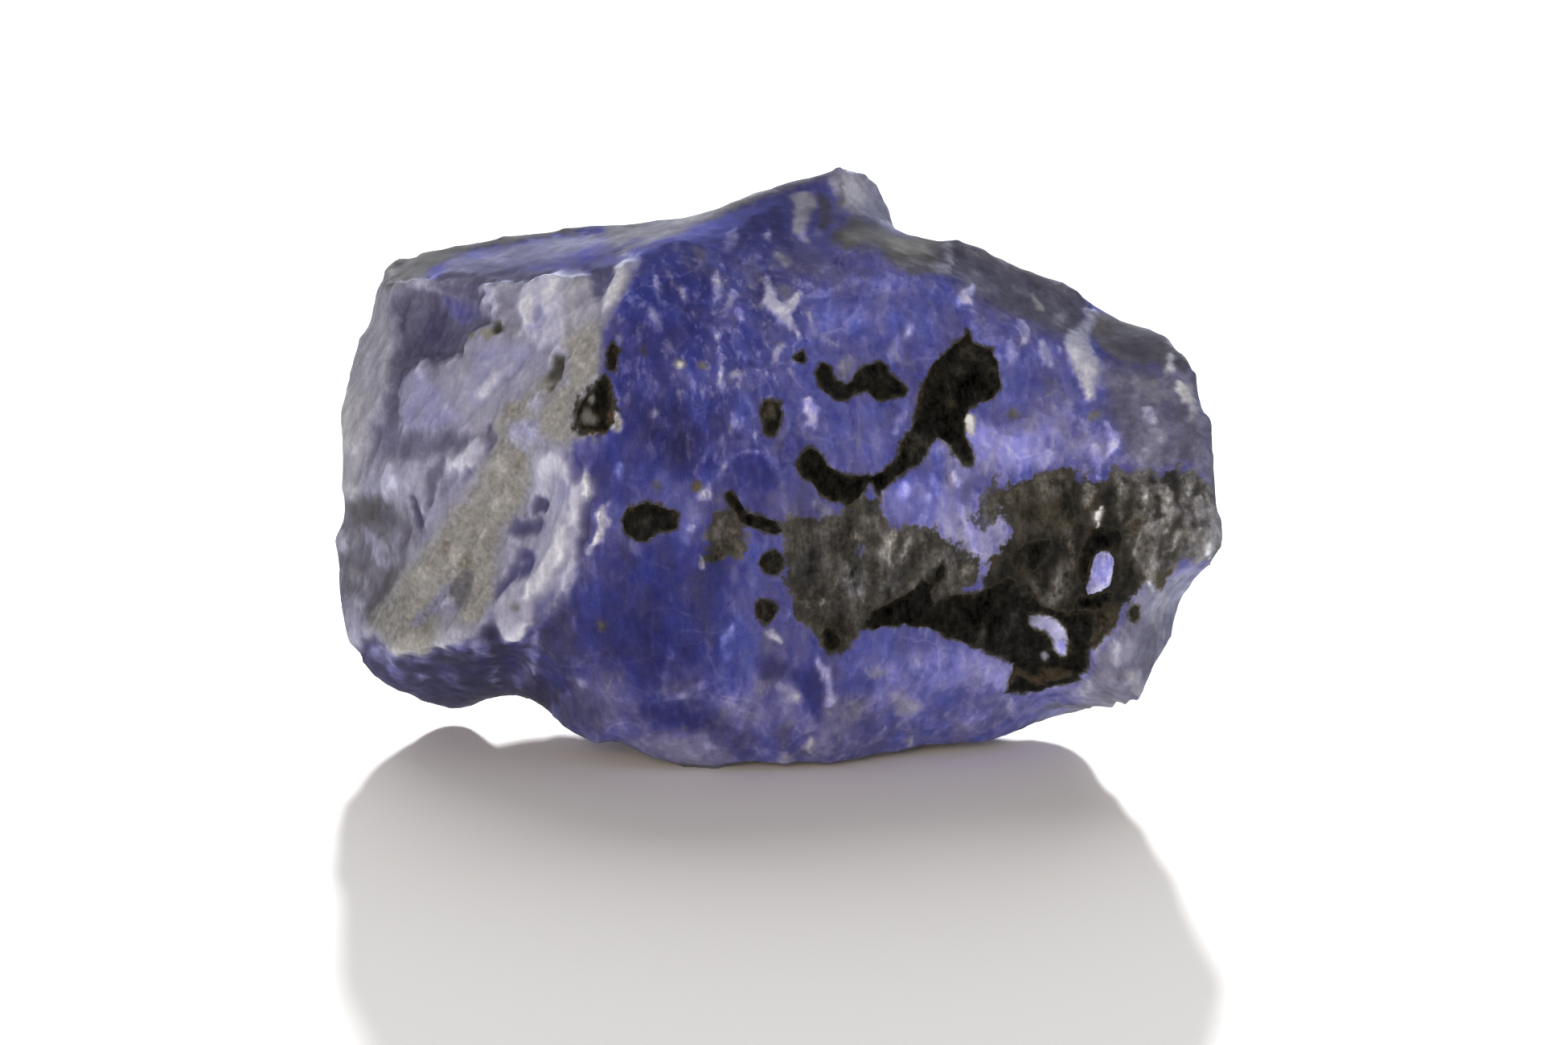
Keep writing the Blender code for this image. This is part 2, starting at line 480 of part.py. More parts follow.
def build():
    for old in list(bpy.data.objects):
        bpy.data.objects.remove(old)

    bm = cage()
    bmesh.ops.recalc_face_normals(bm, faces=bm.faces[:])
    refined(bm, 3, 10)
    rough = bpy.data.meshes.new("iolite_cage")
    bm.to_mesh(rough)
    bm.free()

    body = rough
    co, no = coordinates(body), normals(body)

    # Fracture chips, all cut inward: large plates on the back and underside, smaller
    # ones all over, and splinters that lean with the cleavage on the left face. They
    # fade out toward the outline, which is already drawn chip by chip.
    eye = np.array((0.0, -COS_E, SIN_E))
    facing = no @ eye
    hidden = np.clip(0.5 - facing * 1.6, 0.0, 1.0)
    left = np.clip((-4.4 - co[:, 0]) / 1.5, 0.0, 1.0) * np.clip(facing * 3.0, 0.0, 1.0)
    inner = np.clip(from_outline(co) / 1.6, 0.0, 1.0)
    inner = inner * inner * (3 - 2 * inner)
    big = chips(co, 4.4, 11, lean=(0.3, 0.2, 1.0), stretch=1.3) - 0.72
    mid = chips(co, 2.1, 23, lean=(0.4, -0.1, 0.9), stretch=1.5) - 0.72
    splinter = chips(co, 1.25, 37, lean=(0.42, -0.25, 0.87), stretch=2.8) - 0.72
    height = (1.05 * big * hidden + mid * (0.34 * hidden + 0.20 * (1.0 - left))) * inner \
        + splinter * left * 0.30 * (0.25 + 0.75 * inner)
    spot = ((co[:, 0] - REST_MIDDLE[0]) / REST_REACH[0]) ** 2 \
        + ((co[:, 1] - REST_MIDDLE[1]) / REST_REACH[1]) ** 2
    height *= 1.0 - np.clip(1.7 - spot, 0.0, 1.0) * np.clip(-no[:, 2] * 2.0, 0.0, 1.0)
    co = co + no * height[:, None]

    # the flat spot the stone rests on
    rest = REST_LEVEL_MM
    co[:, 2] = np.maximum(co[:, 2], rest)
    body.vertices.foreach_set("co", co.ravel())
    body.update()

    count = sum(len(p.vertices) - 2 for p in body.polygons)
    solid = evaluated("thinned", body, kind="DECIMATE", decimate_type="COLLAPSE",
                      ratio=TRIANGLES / count, use_collapse_triangulate=True)
    co = coordinates(solid)
    co[:, 2] = np.maximum(co[:, 2], rest)
    low = co[:, 2] < rest + 0.012
    co[low, 2] = rest

    # the origin goes under the middle of the box
    lo, hi = co.min(0), co.max(0)
    shift = np.array(((lo[0] + hi[0]) / 2, (lo[1] + hi[1]) / 2, lo[2]))
    co = (co - shift) * 0.001
    solid.vertices.foreach_set("co", co.ravel())
    solid.update()

    bm = bmesh.new()
    bm.from_mesh(solid)
    bmesh.ops.dissolve_degenerate(bm, dist=4e-6, edges=bm.edges[:])
    bmesh.ops.triangulate(bm, faces=[f for f in bm.faces if len(f.verts) > 3])
    bmesh.ops.recalc_face_normals(bm, faces=bm.faces[:])
    bm.to_mesh(solid)
    bm.free()
    solid.name = "iolite"

    stone = bpy.data.objects.new("iolite", solid)
    bpy.context.collection.objects.link(stone)
    skin = bpy.data.materials.new("iolite_violet")
    skin.use_nodes = True
    bsdf = skin.node_tree.nodes["Principled BSDF"]
    bsdf.inputs["Base Color"].default_value = (0.075, 0.075, 0.26, 1.0)
    bsdf.inputs["Roughness"].default_value = 0.3
    bsdf.inputs["Metallic"].default_value = 0.0
    bsdf.inputs["IOR"].default_value = 1.54
    skin.diffuse_color = (0.25, 0.25, 0.55, 1.0)
    solid.materials.clear()
    solid.materials.append(skin)
    print("shift from the cage to the finished frame, mm:", [round(float(s), 4) for s in shift])
    print("box, mm:", [round(float(s), 3) for s in hi - lo], "triangles", len(solid.polygons))
    return stone


build()
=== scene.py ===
"""Looks of the rough iolite: the crystal's fractured surface, its see-through violet,
its pale cleaved left face and the dark mineral grown into it.

Places on the front are named by plate coordinates: U to the right and V downwards on
a plate of 1950 x 1300 units, as the stone is seen from the front with the eye 15
degrees above the horizontal. Lengths are in millimetres until the meshes are made.
"""

import math

import bmesh
import bpy
import numpy as np
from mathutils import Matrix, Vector


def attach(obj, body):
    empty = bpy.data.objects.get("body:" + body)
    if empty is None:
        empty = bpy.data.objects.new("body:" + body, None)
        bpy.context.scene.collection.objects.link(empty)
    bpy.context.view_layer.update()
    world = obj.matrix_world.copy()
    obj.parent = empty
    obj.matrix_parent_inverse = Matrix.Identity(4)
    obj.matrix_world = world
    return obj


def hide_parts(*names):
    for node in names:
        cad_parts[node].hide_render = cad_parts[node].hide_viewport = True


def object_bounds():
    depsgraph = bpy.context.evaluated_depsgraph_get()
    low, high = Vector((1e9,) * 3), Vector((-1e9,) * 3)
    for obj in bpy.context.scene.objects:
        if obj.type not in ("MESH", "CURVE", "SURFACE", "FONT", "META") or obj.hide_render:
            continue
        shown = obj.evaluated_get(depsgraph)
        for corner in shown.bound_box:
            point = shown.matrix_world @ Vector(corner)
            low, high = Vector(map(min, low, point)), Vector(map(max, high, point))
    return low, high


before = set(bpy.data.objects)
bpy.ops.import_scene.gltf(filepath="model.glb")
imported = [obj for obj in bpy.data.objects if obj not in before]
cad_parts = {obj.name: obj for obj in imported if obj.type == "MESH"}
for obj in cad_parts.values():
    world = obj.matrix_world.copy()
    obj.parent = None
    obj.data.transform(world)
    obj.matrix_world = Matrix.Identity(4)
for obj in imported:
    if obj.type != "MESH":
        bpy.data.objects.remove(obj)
cad_lo, cad_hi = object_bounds()

# ---------------------------------------------------------------- the view
EYE_ELEVATION = math.radians(15.0)
EYE_DISTANCE = 600.0                      # mm
MM = 22.0 / 1110.0                        # mm for one plate unit
PLATE_CENTRE = (975.0, 650.0)
TARGET = np.array((0.1365, -0.5907, 5.36))    # the plate's centre in the stone's frame, mm
SIN_E, COS_E = math.sin(EYE_ELEVATION), math.cos(EYE_ELEVATION)
TO_EYE = np.array((0.0, -COS_E, SIN_E))
CELL = 0.294                              # mm, size of the surface cells on the hidden sides
FINER = (0.0, 0.42)                       # cells are halved where they face the eye more than this
GAIN = (0.80, 0.85, 0.92)                 # surface colour against the colours asked for
GAIN_CLEAR = (1.16, 1.20, 1.30)           # the same where light also passes through
# how much light reaches a side by its slope: facing down -1, level with the eye 0, up 1
LIGHT_BY_SLOPE = ((-0.7, 0.62), (-0.38, 0.73), (-0.2, 0.95), (0.24, 1.05), (0.45, 1.0),
                  (0.68, 0.82), (0.83, 0.84), (0.95, 1.50))
# the studio: an even dome, a far lamp behind the stone, a wide soft one above it and a
# soft warm one in front. Direction and height over the horizontal in degrees, distance
# and width in m, how bright it makes white paper lying flat, colour, aim above the floor
DOME = 0.32
DOME_COLOUR = (0.985, 1.0, 1.01)
LAMPS = [
    ("key_behind", 180, 18, 3.0, 0.20, 1.20, (1.0, 0.99, 0.97), 0.0),
    ("wide_behind", 180, 40, 1.20, 1.20, 0.46, (0.98, 1.0, 1.02), 0.006),
    ("fill_front", -15, 14, 1.20, 0.80, 0.145, (1.15, 0.92, 0.72), 0.006),
]


def on_plate(p):
    """Plate coordinates of points in mm."""
    q = p - TARGET
    w = q @ TO_EYE
    k = 1.0 - w / EYE_DISTANCE
    up = q @ np.array((0.0, SIN_E, COS_E))
    return np.stack((PLATE_CENTRE[0] + q[:, 0] / k / MM, PLATE_CENTRE[1] - up / k / MM), axis=1)


# ---------------------------------------------------------------- repeatable noise
def scatter(cells, seed, count):
    """Numbers from 0 to 1 that depend only on the whole-number cell and the seed."""
    c = cells.astype(np.int64)
    h = (c[..., 0] * 73856093) ^ (c[..., 1] * 19349663) ^ (c[..., 2] * 83492791)
    h = (h + seed * 2654435761) & 0xFFFFFFFF
    out = []
    for k in range(count):
        h = (h ^ (h >> 16)) * 0x45D9F3B & 0xFFFFFFFF
        h = (h ^ (h >> 15)) * 0x2C1B3C6D & 0xFFFFFFFF
        h = (h ^ (h >> 13)) & 0xFFFFFFFF
        out.append((h & 0xFFFFFF) / float(0x1000000))
        h = (h + 0x9E3779B9 + k) & 0xFFFFFFFF
    return np.stack(out, axis=-1)


def drawn_out(p, lean, stretch):
    axis = np.array(lean, dtype=float)
    axis /= np.linalg.norm(axis)
    return p - np.outer(p @ axis, axis) * (1.0 - 1.0 / stretch)


def chips(points, size, seed, lean=(0.0, 0.0, 1.0), stretch=1.0, tilt=0.55):
    """Shell-shaped chips that meet in sharp edges: the lowest of many tilted bowls.
    Returns their height and a number from 0 to 1 that is the same all over a chip."""
    q = drawn_out(points, lean, stretch) / size
    base = np.floor(q)
    best = np.full(len(q), 9.0)
    own = np.zeros(len(q))
    for dx in (-1, 0, 1):
        for dy in (-1, 0, 1):
            for dz in (-1, 0, 1):
                cell = base + (dx, dy, dz)
                r = scatter(cell, seed, 8)
                d = q - cell - r[:, :3]
                bowl = (d * d).sum(1) + tilt * (d * (r[:, 3:6] * 2 - 1)).sum(1) \
                    + 0.35 * r[:, 6]
                lower = bowl < best
                best = np.where(lower, bowl, best)
                own = np.where(lower, r[:, 7], own)
    return best - 0.4, own


def noise(points, size, seed, octaves=1, lean=(0.0, 0.0, 1.0), stretch=1.0):
    """Smooth value noise from -1 to 1."""
    p = drawn_out(points, lean, stretch) / size
    total, weight, gain = 0.0, 0.0, 1.0
    for o in range(octaves):
        q = p * (2.03 ** o) + 17.3 * o
        base = np.floor(q)
        f = q - base
        f = f * f * f * (f * (f * 6 - 15) + 10)
        value = 0.0
        for dx in (0, 1):
            for dy in (0, 1):
                for dz in (0, 1):
                    r = scatter(base + (dx, dy, dz), seed + o * 7, 1)[:, 0]
                    w = (f[:, 0] if dx else 1 - f[:, 0]) * (f[:, 1] if dy else 1 - f[:, 1]) \
                        * (f[:, 2] if dz else 1 - f[:, 2])
                    value = value + r * w
        total = total + gain * (value * 2 - 1)
        weight += gain
        gain *= 0.5
    return total / weight


def smooth(x, a, b):
    t = np.clip((x - a) / (b - a), 0.0, 1.0)
    return t * t * (3 - 2 * t)


def decoded(x):
    """Screen tone 0-1 to light."""
    return np.where(x <= 0.04045, x / 12.92, ((np.maximum(x, 0.0) + 0.055) / 1.055) ** 2.4)


def encoded(x):
    return np.where(x <= 0.0031308, x * 12.92, 1.055 * np.maximum(x, 1e-6) ** (1 / 2.4) - 0.055)


def terrace(x, riser=0.22):
    """Flat treads one unit apart, joined by steep risers."""
    f = np.floor(x)
    return f + smooth(x - f, 1.0 - riser, 1.0)

# ------------------------------------------------- marks on the front, plate outlines
# dark mineral, black, with crisp edges
BLACK = {
    "hook": [(1201, 413), (1211, 426), (1223, 431), (1234, 436), (1239, 457), (1241, 482),
             (1234, 495), (1216, 503), (1204, 510), (1198, 523), (1199, 540), (1206, 556),
             (1211, 571), (1210, 578), (1198, 578), (1190, 566), (1183, 555), (1165, 543),
             (1155, 550), (1150, 563), (1138, 578), (1124, 586), (1112, 591), (1105, 602),
             (1099, 614), (1092, 606), (1086, 600), (1074, 606), (1066, 619), (1056, 629),
             (1041, 624), (1020, 617), (1007, 601), (995, 584), (992, 571), (1001, 562),
             (1010, 558), (1023, 568), (1030, 578), (1046, 589), (1066, 594), (1087, 591),
             (1099, 585), (1110, 578), (1120, 560), (1127, 545), (1135, 530), (1141, 510),
             (1146, 490), (1150, 470), (1160, 457), (1168, 445), (1176, 434), (1186, 426),
             (1196, 419)],
    "pair": [(1013, 467), (1016, 457), (1025, 453), (1033, 461), (1038, 472), (1049, 478),
             (1060, 475), (1067, 463), (1078, 454), (1092, 449), (1104, 459), (1114, 474),
             (1126, 488), (1120, 494), (1101, 497), (1087, 491), (1077, 484), (1067, 489),
             (1055, 496), (1038, 496), (1023, 486)],
    "bar": [(905, 613), (912, 612), (918, 622), (926, 632), (930, 638), (939, 640), (954, 645),
            (967, 652), (972, 660), (964, 665), (949, 660), (933, 655), (922, 650), (914, 640),
            (908, 630), (903, 620)],
    "wedge": [(1073, 783), (1080, 772), (1084, 762), (1102, 755), (1127, 742), (1140, 731),
              (1148, 724), (1156, 738), (1163, 749), (1181, 739), (1209, 739), (1228, 730),
              (1246, 727), (1262, 720), (1280, 726), (1289, 742), (1292, 756), (1306, 760),
              (1322, 764), (1334, 772), (1336, 800), (1342, 818), (1350, 814), (1349, 832), (1336, 847), (1315, 850), (1300, 855), (1290, 862),
              (1272, 865), (1254, 860), (1257, 850), (1259, 842), (1262, 828), (1250, 823),
              (1239, 819), (1213, 806), (1188, 794), (1162, 783), (1131, 778), (1098, 778)],
    "core": [(1256, 700), (1262, 686), (1276, 676), (1294, 672), (1308, 674), (1306, 688),
             (1296, 700), (1282, 710), (1266, 712)],
    "bow": [(1342, 712), (1344, 694), (1350, 676), (1356, 662), (1368, 655), (1382, 656),
            (1393, 664), (1397, 678), (1392, 690), (1384, 686), (1378, 682), (1366, 684),
            (1358, 694), (1354, 708), (1350, 722), (1344, 724)],
    "lip": [(1336, 752), (1344, 744), (1358, 742), (1374, 738), (1385, 736), (1383, 748),
            (1370, 757), (1352, 759), (1340, 761)],
    "heel_grain": [(1332, 763), (1352, 762), (1374, 760), (1390, 752), (1386, 768), (1372, 782),
                   (1360, 796), (1352, 808), (1346, 821), (1337, 820), (1332, 804), (1334, 788),
                   (1330, 776)],
    "ridge_low": [(742, 478), (750, 470), (757, 474), (760, 490), (763, 508), (764, 526),
                  (757, 536), (746, 539), (736, 538), (726, 534), (718, 526), (717, 512),
                  (722, 500), (730, 492), (738, 488)],
    "ridge_up": [(757, 432), (762, 427), (768, 434), (768, 452), (764, 464), (758, 462),
                 (756, 446)],
    "oval": [(773, 650), (780, 633), (797, 629), (820, 630), (838, 633), (844, 640), (841, 655),
             (826, 662), (805, 676), (788, 669), (776, 660)],
    "twig": [(1150, 733), (1158, 724), (1166, 710), (1173, 700), (1177, 706), (1170, 720),
             (1160, 732), (1154, 740)],
}
BLACK_OVALS = [(959, 521, 13, 20), (996, 443, 6.5, 6.5), (960, 702, 13, 14), (953, 760, 11, 13),
               (1413, 763, 6, 9), (1033, 798, 11, 14)]
# holes in the dark mineral that show the violet behind
WINDOWS = [
    [(1362, 690), (1370, 685), (1380, 686), (1386, 696), (1384, 712), (1379, 728), (1368, 737),
     (1354, 740), (1350, 732), (1353, 722), (1357, 706)],
    [(1277, 764), (1288, 762), (1304, 766), (1318, 774), (1327, 784), (1330, 798), (1328, 816),
     (1318, 818), (1309, 810), (1306, 796), (1298, 786), (1286, 784), (1278, 776)],
]
LEFT_FACE = [(440, 330), (480, 340), (560, 345), (640, 340), (700, 335), (735, 328),
             (748, 345), (770, 330), (790, 320), (785, 350), (765, 382), (750, 410),
             (742, 470), (722, 500), (708, 545), (712, 560), (728, 580), (736, 610),
             (730, 655), (722, 690), (712, 720), (700, 750), (680, 768), (660, 780),
             (640, 795), (590, 800), (560, 802), (535, 810), (500, 822), (470, 812),
             (440, 822), (400, 800), (380, 640), (385, 500), (410, 400)]
HOLLOW = [(484, 384), (502, 359), (543, 362), (579, 370), (606, 386), (616, 402), (594, 412),
          (579, 427), (576, 445), (553, 450), (522, 445), (504, 464), (494, 488), (490, 520),
          (484, 486), (482, 435)]
CRUST = [(703, 423), (724, 410), (744, 404), (746, 454), (738, 480), (718, 494), (714, 525),
         (700, 552), (670, 566), (661, 604), (656, 622), (641, 642), (625, 660), (618, 684),
         (614, 709), (613, 744), (600, 766), (590, 778), (573, 784), (565, 773), (572, 744),
         (553, 750), (532, 774), (540, 800), (529, 820), (507, 815), (464, 779), (456, 766),
         (484, 740), (510, 699), (543, 668), (563, 632), (594, 604), (604, 579), (617, 540),
         (640, 500), (676, 468), (690, 446)]
# where fine upright scratches are thick on the violet front
BRUSHED = [(775, 340), (850, 290), (1000, 250), (1012, 330), (1000, 420), (960, 560),
           (880, 620), (800, 560), (752, 470)]

# ------------------------------------------------------ how the stone is coloured
# Colours are painted in layers, one over the other. A tone is two numbers: how light
# it is (0 black to 255 white) and its hue: -1 brown, 0 grey, 1 grey-lilac, 2 violet,
# 3 blue. Shapes are given by plate coordinates. There are three kinds:
#   area:   tone, softness of its edge, outline
#   streak: tone, half width, line, strength
#   spot:   tone, centre, half widths, turn in degrees, strength
FRONT_COLOURS = [
    # large soft changes of the violet front face
    ("spot", 66, 2.5, (860, 345), (110, 62), -20, 0.9),
    ("spot", 60, 2.6, (950, 270), (60, 30), -30, 0.8),
    ("spot", 78, 2.1, (925, 340), (40, 40), 0, 0.8),
    ("spot", 54, 2.4, (800, 420), (46, 60), 0, 0.8),
    ("spot", 52, 2.6, (870, 425), (70, 34), 10, 0.8),
    ("spot", 84, 2.3, (900, 440), (60, 50), 0, 0.6),
    ("spot", 94, 2.4, (970, 470), (60, 50), 0, 0.8),
    ("spot", 82, 1.6, (1005, 330), (60, 30), 0, 0.8),
    ("spot", 72, 2.2, (1082, 335), (46, 26), 15, 0.9),
    ("spot", 78, 2.3, (1040, 372), (60, 22), -10, 0.8),
    ("spot", 104, 2.7, (1042, 404), (60, 26), -20, 0.9),
    ("spot", 84, 2.4, (1080, 430), (60, 22), 0, 0.7),
    ("spot", 100, 2.4, (1150, 390), (50, 40), 0, 0.7),
    ("spot", 92, 2.4, (1190, 370), (40, 30), 0, 0.7),
    ("spot", 98, 2.3, (1240, 440), (60, 60), 0, 0.8),
    ("spot", 95, 2.3, (1010, 520), (60, 40), 0, 0.8),
    ("spot", 100, 2.4, (1080, 540), (60, 50), 0, 0.9),
    ("spot", 46, 2.5, (835, 535), (80, 60), 0, 0.95),
    ("spot", 54, 2.4, (760, 580), (40, 60), 0, 0.9),
    ("spot", 52, 2.7, (935, 585), (44, 34), 0, 0.9),
    ("spot", 72, 2.4, (925, 625), (60, 26), 0, 0.7),
    ("spot", 80, 2.3, (880, 500), (50, 40), 20, 0.5),
    ("spot", 55, 2.6, (840, 705), (90, 50), 0, 0.9),
    ("spot", 46, 2.5, (800, 790), (110, 80), 10, 0.95),
    ("spot", 42, 2.5, (812, 815), (50, 44), 0, 0.8),
    ("spot", 64, 2.4, (880, 760), (60, 40), 0, 0.7),
    ("spot", 88, 2.3, (950, 790), (60, 60), 0, 0.8),
    ("spot", 78, 2.3, (960, 735), (30, 30), 0, 0.7),
    ("spot", 66, 2.3, (870, 858), (60, 30), 0, 0.8),
    ("spot", 84, 1.6, (748, 872), (60, 40), 15, 0.9),
    ("spot", 46, 2.5, (858, 893), (70, 22), 4, 0.95),
    ("spot", 68, 1.5, (722, 885), (34, 34), 40, 0.8),
    ("spot", 101, 1.7, (950, 880), (60, 44), 0, 0.9),
    ("spot", 62, 2.2, (928, 920), (20, 20), 30, 0.9),
    ("spot", 72, 1.8, (972, 918), (16, 18), 20, 0.8),
    ("spot", 64, 2.0, (962, 833), (22, 16), 0, 0.9),
    ("spot", 100, 1.5, (1050, 905), (60, 44), 0, 0.9),
    ("spot", 88, 2.0, (1060, 840), (44, 40), 0, 0.7),
    ("spot", 104, 2.3, (1150, 840), (110, 60), 0, 0.95),
    ("spot", 86, 2.9, (1082, 800), (34, 22), 0, 0.9),
    ("spot", 118, 2.4, (1135, 825), (44, 16), 0, 0.8),
    ("spot", 82, 2.5, (1182, 876), (50, 22), 10, 0.8),
    ("spot", 94, 2.1, (1230, 890), (80, 26), -6, 0.8),
    ("spot", 128, 2.3, (1238, 838), (26, 18), 30, 0.9),
    ("spot", 96, 1.8, (1310, 878), (70, 26), -8, 0.9),
    ("spot", 72, 2.6, (1068, 855), (22, 15), 0, 0.9),
    ("spot", 66, 1.7, (1080, 903), (15, 20), 0, 0.8),
    ("spot", 112, 2.3, (1150, 625), (70, 44), 0, 0.95),
    ("spot", 126, 2.1, (1230, 560), (80, 50), 0, 0.95),
    ("spot", 140, 2.2, (1262, 552), (60, 34), 0, 0.9),
    ("spot", 112, 2.1, (1310, 520), (60, 44), 0, 0.8),
    ("spot", 130, 1.9, (1180, 650), (40, 50), 0, 0.9),
    ("spot", 140, 1.9, (1218, 670), (22, 40), -20, 0.8),
    ("area", 146, 1.6, 12, [(1208, 620), (1222, 612), (1240, 628), (1252, 648), (1262, 662),
                            (1252, 680), (1238, 704), (1216, 712), (1204, 690), (1198, 660)]),
    ("spot", 116, 1.9, (1345, 560), (50, 34), 0, 0.9),
    ("spot", 78, 1.8, (1400, 516), (30, 26), 0, 0.9),
    ("spot", 88, 2.2, (1330, 476), (24, 30), -30, 0.7),
    ("spot", 62, 2.5, (1000, 560), (24, 18), 20, 0.5),

    # top: pale strip, teeth and brown bevel
    ("area", 122, 0.4, 5, [(745, 272), (844, 262), (880, 255), (918, 243), (950, 226), (1000, 208),
                           (1040, 196), (1060, 196), (1048, 212), (1020, 222), (992, 232),
                           (960, 242), (939, 250), (913, 261), (877, 276), (844, 289), (811, 299),
                           (775, 318), (760, 322)]),
    ("area", 136, 0.2, 4, [(850, 264), (880, 257), (940, 233), (960, 226), (946, 244), (912, 258),
                           (877, 271), (840, 282)]),
    ("spot", 108, 0.0, (1028, 214), (24, 9), -20, 0.9),
    ("area", 140, 1.0, 3, [(1028, 224), (1044, 208), (1066, 200), (1090, 208), (1102, 238),
                           (1113, 288), (1087, 276), (1062, 268), (1046, 262), (1040, 244)]),
    ("area", 160, 0.7, 4, [(1046, 222), (1062, 212), (1076, 224), (1078, 248), (1064, 262),
                           (1050, 258)]),
    ("streak", 74, 0.6, 8, [(1022, 240), (1028, 262), (1020, 284)], 0.8),
    ("streak", 92, 0.2, 4, [(1048, 228), (1049, 262)], 0.7),
    ("area", 86, 0.1, 10, [(1036, 288), (1066, 269), (1087, 278), (1112, 286), (1143, 288),
                           (1180, 294), (1184, 312), (1172, 330), (1160, 338), (1130, 340),
                           (1112, 328), (1094, 312), (1074, 305), (1053, 310), (1038, 300)]),
    ("spot", 128, -0.1, (1128, 306), (30, 11), 12, 0.8),
    ("spot", 102, 0.6, (1138, 328), (18, 8), 0, 0.7),
    ("spot", 124, -0.1, (1060, 292), (16, 10), -10, 0.7),
    ("area", 76, 0.8, 15, [(1172, 296), (1200, 290), (1240, 308), (1300, 332), (1356, 366),
                           (1352, 398), (1342, 410), (1324, 420), (1296, 408), (1262, 398),
                           (1236, 382), (1212, 362), (1186, 348), (1168, 334)]),
    ("streak", 100, 0.3, 9, [(1185, 300), (1225, 318), (1290, 342), (1340, 366)], 0.7),
    ("streak", 145, 0.3, 6, [(1175, 300), (1180, 312), (1184, 326)], 0.8),
    ("spot", 134, 0.7, (1171, 333), (15, 9), 0, 0.8),
    ("spot", 104, 0.9, (1220, 350), (34, 14), 30, 0.7),
    ("streak", 146, 0.1, 7, [(1284, 364), (1290, 373), (1297, 382)], 0.9),
    ("streak", 126, 0.8, 6, [(1262, 358), (1284, 366)], 0.7),
    ("spot", 118, 0.5, (1318, 398), (12, 8), 20, 0.6),
    ("area", 100, 0.4, 6, [(1360, 384), (1400, 394), (1450, 408), (1490, 440), (1496, 462),
                           (1456, 456), (1400, 450), (1370, 440), (1358, 415)]),
    ("spot", 106, 0.15, (1374, 404), (16, 12), 0, 0.8),
    ("spot", 86, 0.6, (1408, 436), (30, 12), 20, 0.7),

    # pale patch on the upper right ridge
    ("area", 168, 1.0, 5, [(1354, 383), (1364, 386), (1362, 398), (1355, 413), (1358, 429),
                           (1361, 444), (1370, 457), (1369, 475), (1362, 496), (1355, 500),
                           (1348, 485), (1340, 467), (1333, 452), (1326, 434), (1324, 420),
                           (1334, 411), (1346, 402)]),
    ("streak", 182, 1.0, 8, [(1338, 438), (1348, 466), (1354, 492)], 1.0),

    # right end: grey-lilac, scaly, with dark and whitish streaks
    ("area", 101, 1.0, 14, [(1366, 455), (1400, 452), (1456, 456), (1500, 462), (1535, 540),
                            (1540, 690), (1500, 720), (1515, 655), (1505, 605), (1489, 588),
                            (1466, 578), (1441, 588), (1418, 586), (1400, 560), (1384, 520)]),
    ("streak", 78, 0.9, 12, [(1470, 505), (1480, 540), (1474, 570)], 0.6),
    ("streak", 84, 1.2, 9, [(1450, 500), (1458, 530), (1450, 560)], 0.6),
    ("streak", 120, 0.6, 10, [(1410, 470), (1430, 490), (1450, 496)], 0.5),
    ("streak", 92, 0.9, 6, [(1500, 520), (1508, 560), (1512, 620)], 0.5),
    ("streak", 80, 0.5, 6, [(1466, 437), (1470, 452), (1478, 462)], 0.9),
    ("streak", 190, 0.5, 5, [(1458, 438), (1454, 450), (1451, 463)], 1.0),
    ("streak", 178, 0.4, 9, [(1466, 474), (1474, 486), (1484, 500)], 1.0),
    ("streak", 142, 0.5, 5, [(1480, 498), (1485, 512), (1482, 524)], 0.8),
    ("streak", 156, 1.3, 8, [(1424, 507), (1431, 515), (1437, 522)], 0.9),
    ("streak", 130, 0.8, 7, [(1432, 533), (1442, 540), (1452, 546)], 0.7),
    ("streak", 132, 1.0, 7, [(1425, 552), (1424, 566), (1421, 576)], 0.8),
    ("spot", 118, -0.2, (1434, 476), (6, 6), 0, 0.7),

    # heel, lower right
    ("area", 102, 0.9, 14, [(1400, 758), (1420, 724), (1452, 716), (1500, 700), (1490, 735),
                            (1478, 760), (1460, 820), (1432, 880), (1402, 884), (1364, 888),
                            (1338, 888), (1350, 850), (1368, 806)]),
    ("streak", 96, 0.7, 12, [(1360, 874), (1390, 868), (1410, 860)], 0.8),
    ("spot", 150, 0.2, (1417, 862), (9, 6), 20, 0.7),
    ("spot", 88, 1.3, (1392, 832), (9, 12), 10, 0.7),
    ("spot", 84, 0.9, (1424, 800), (10, 8), 0, 0.7),
    ("spot", 92, 0.2, (1440, 775), (10, 16), 0, 0.5),
    ("spot", 84, 0.4, (1424, 828), (6, 12), 10, 0.6),
    ("streak", 138, 0.4, 7, [(1450, 745), (1446, 762)], 0.6),
    ("streak", 132, 1.9, 10, [(1372, 790), (1362, 812)], 0.5),
    ("streak", 150, 0.9, 7, [(1383, 795), (1385, 812), (1388, 828)], 0.9),
    ("streak", 136, 0.9, 7, [(1400, 790), (1402, 812), (1400, 836)], 0.6),
    ("streak", 96, 0.6, 7, [(1392, 830), (1396, 850)], 0.5),
    ("streak", 142, 0.3, 9, [(1404, 838), (1414, 850), (1420, 860)], 0.7),
    ("spot", 142, 0.8, (1349, 856), (11, 12), 0, 0.8),
    ("streak", 94, 0.6, 8, [(1436, 790), (1432, 820), (1440, 842)], 0.5),
    ("streak", 134, 0.6, 9, [(1446, 740), (1440, 765), (1450, 790)], 0.6),
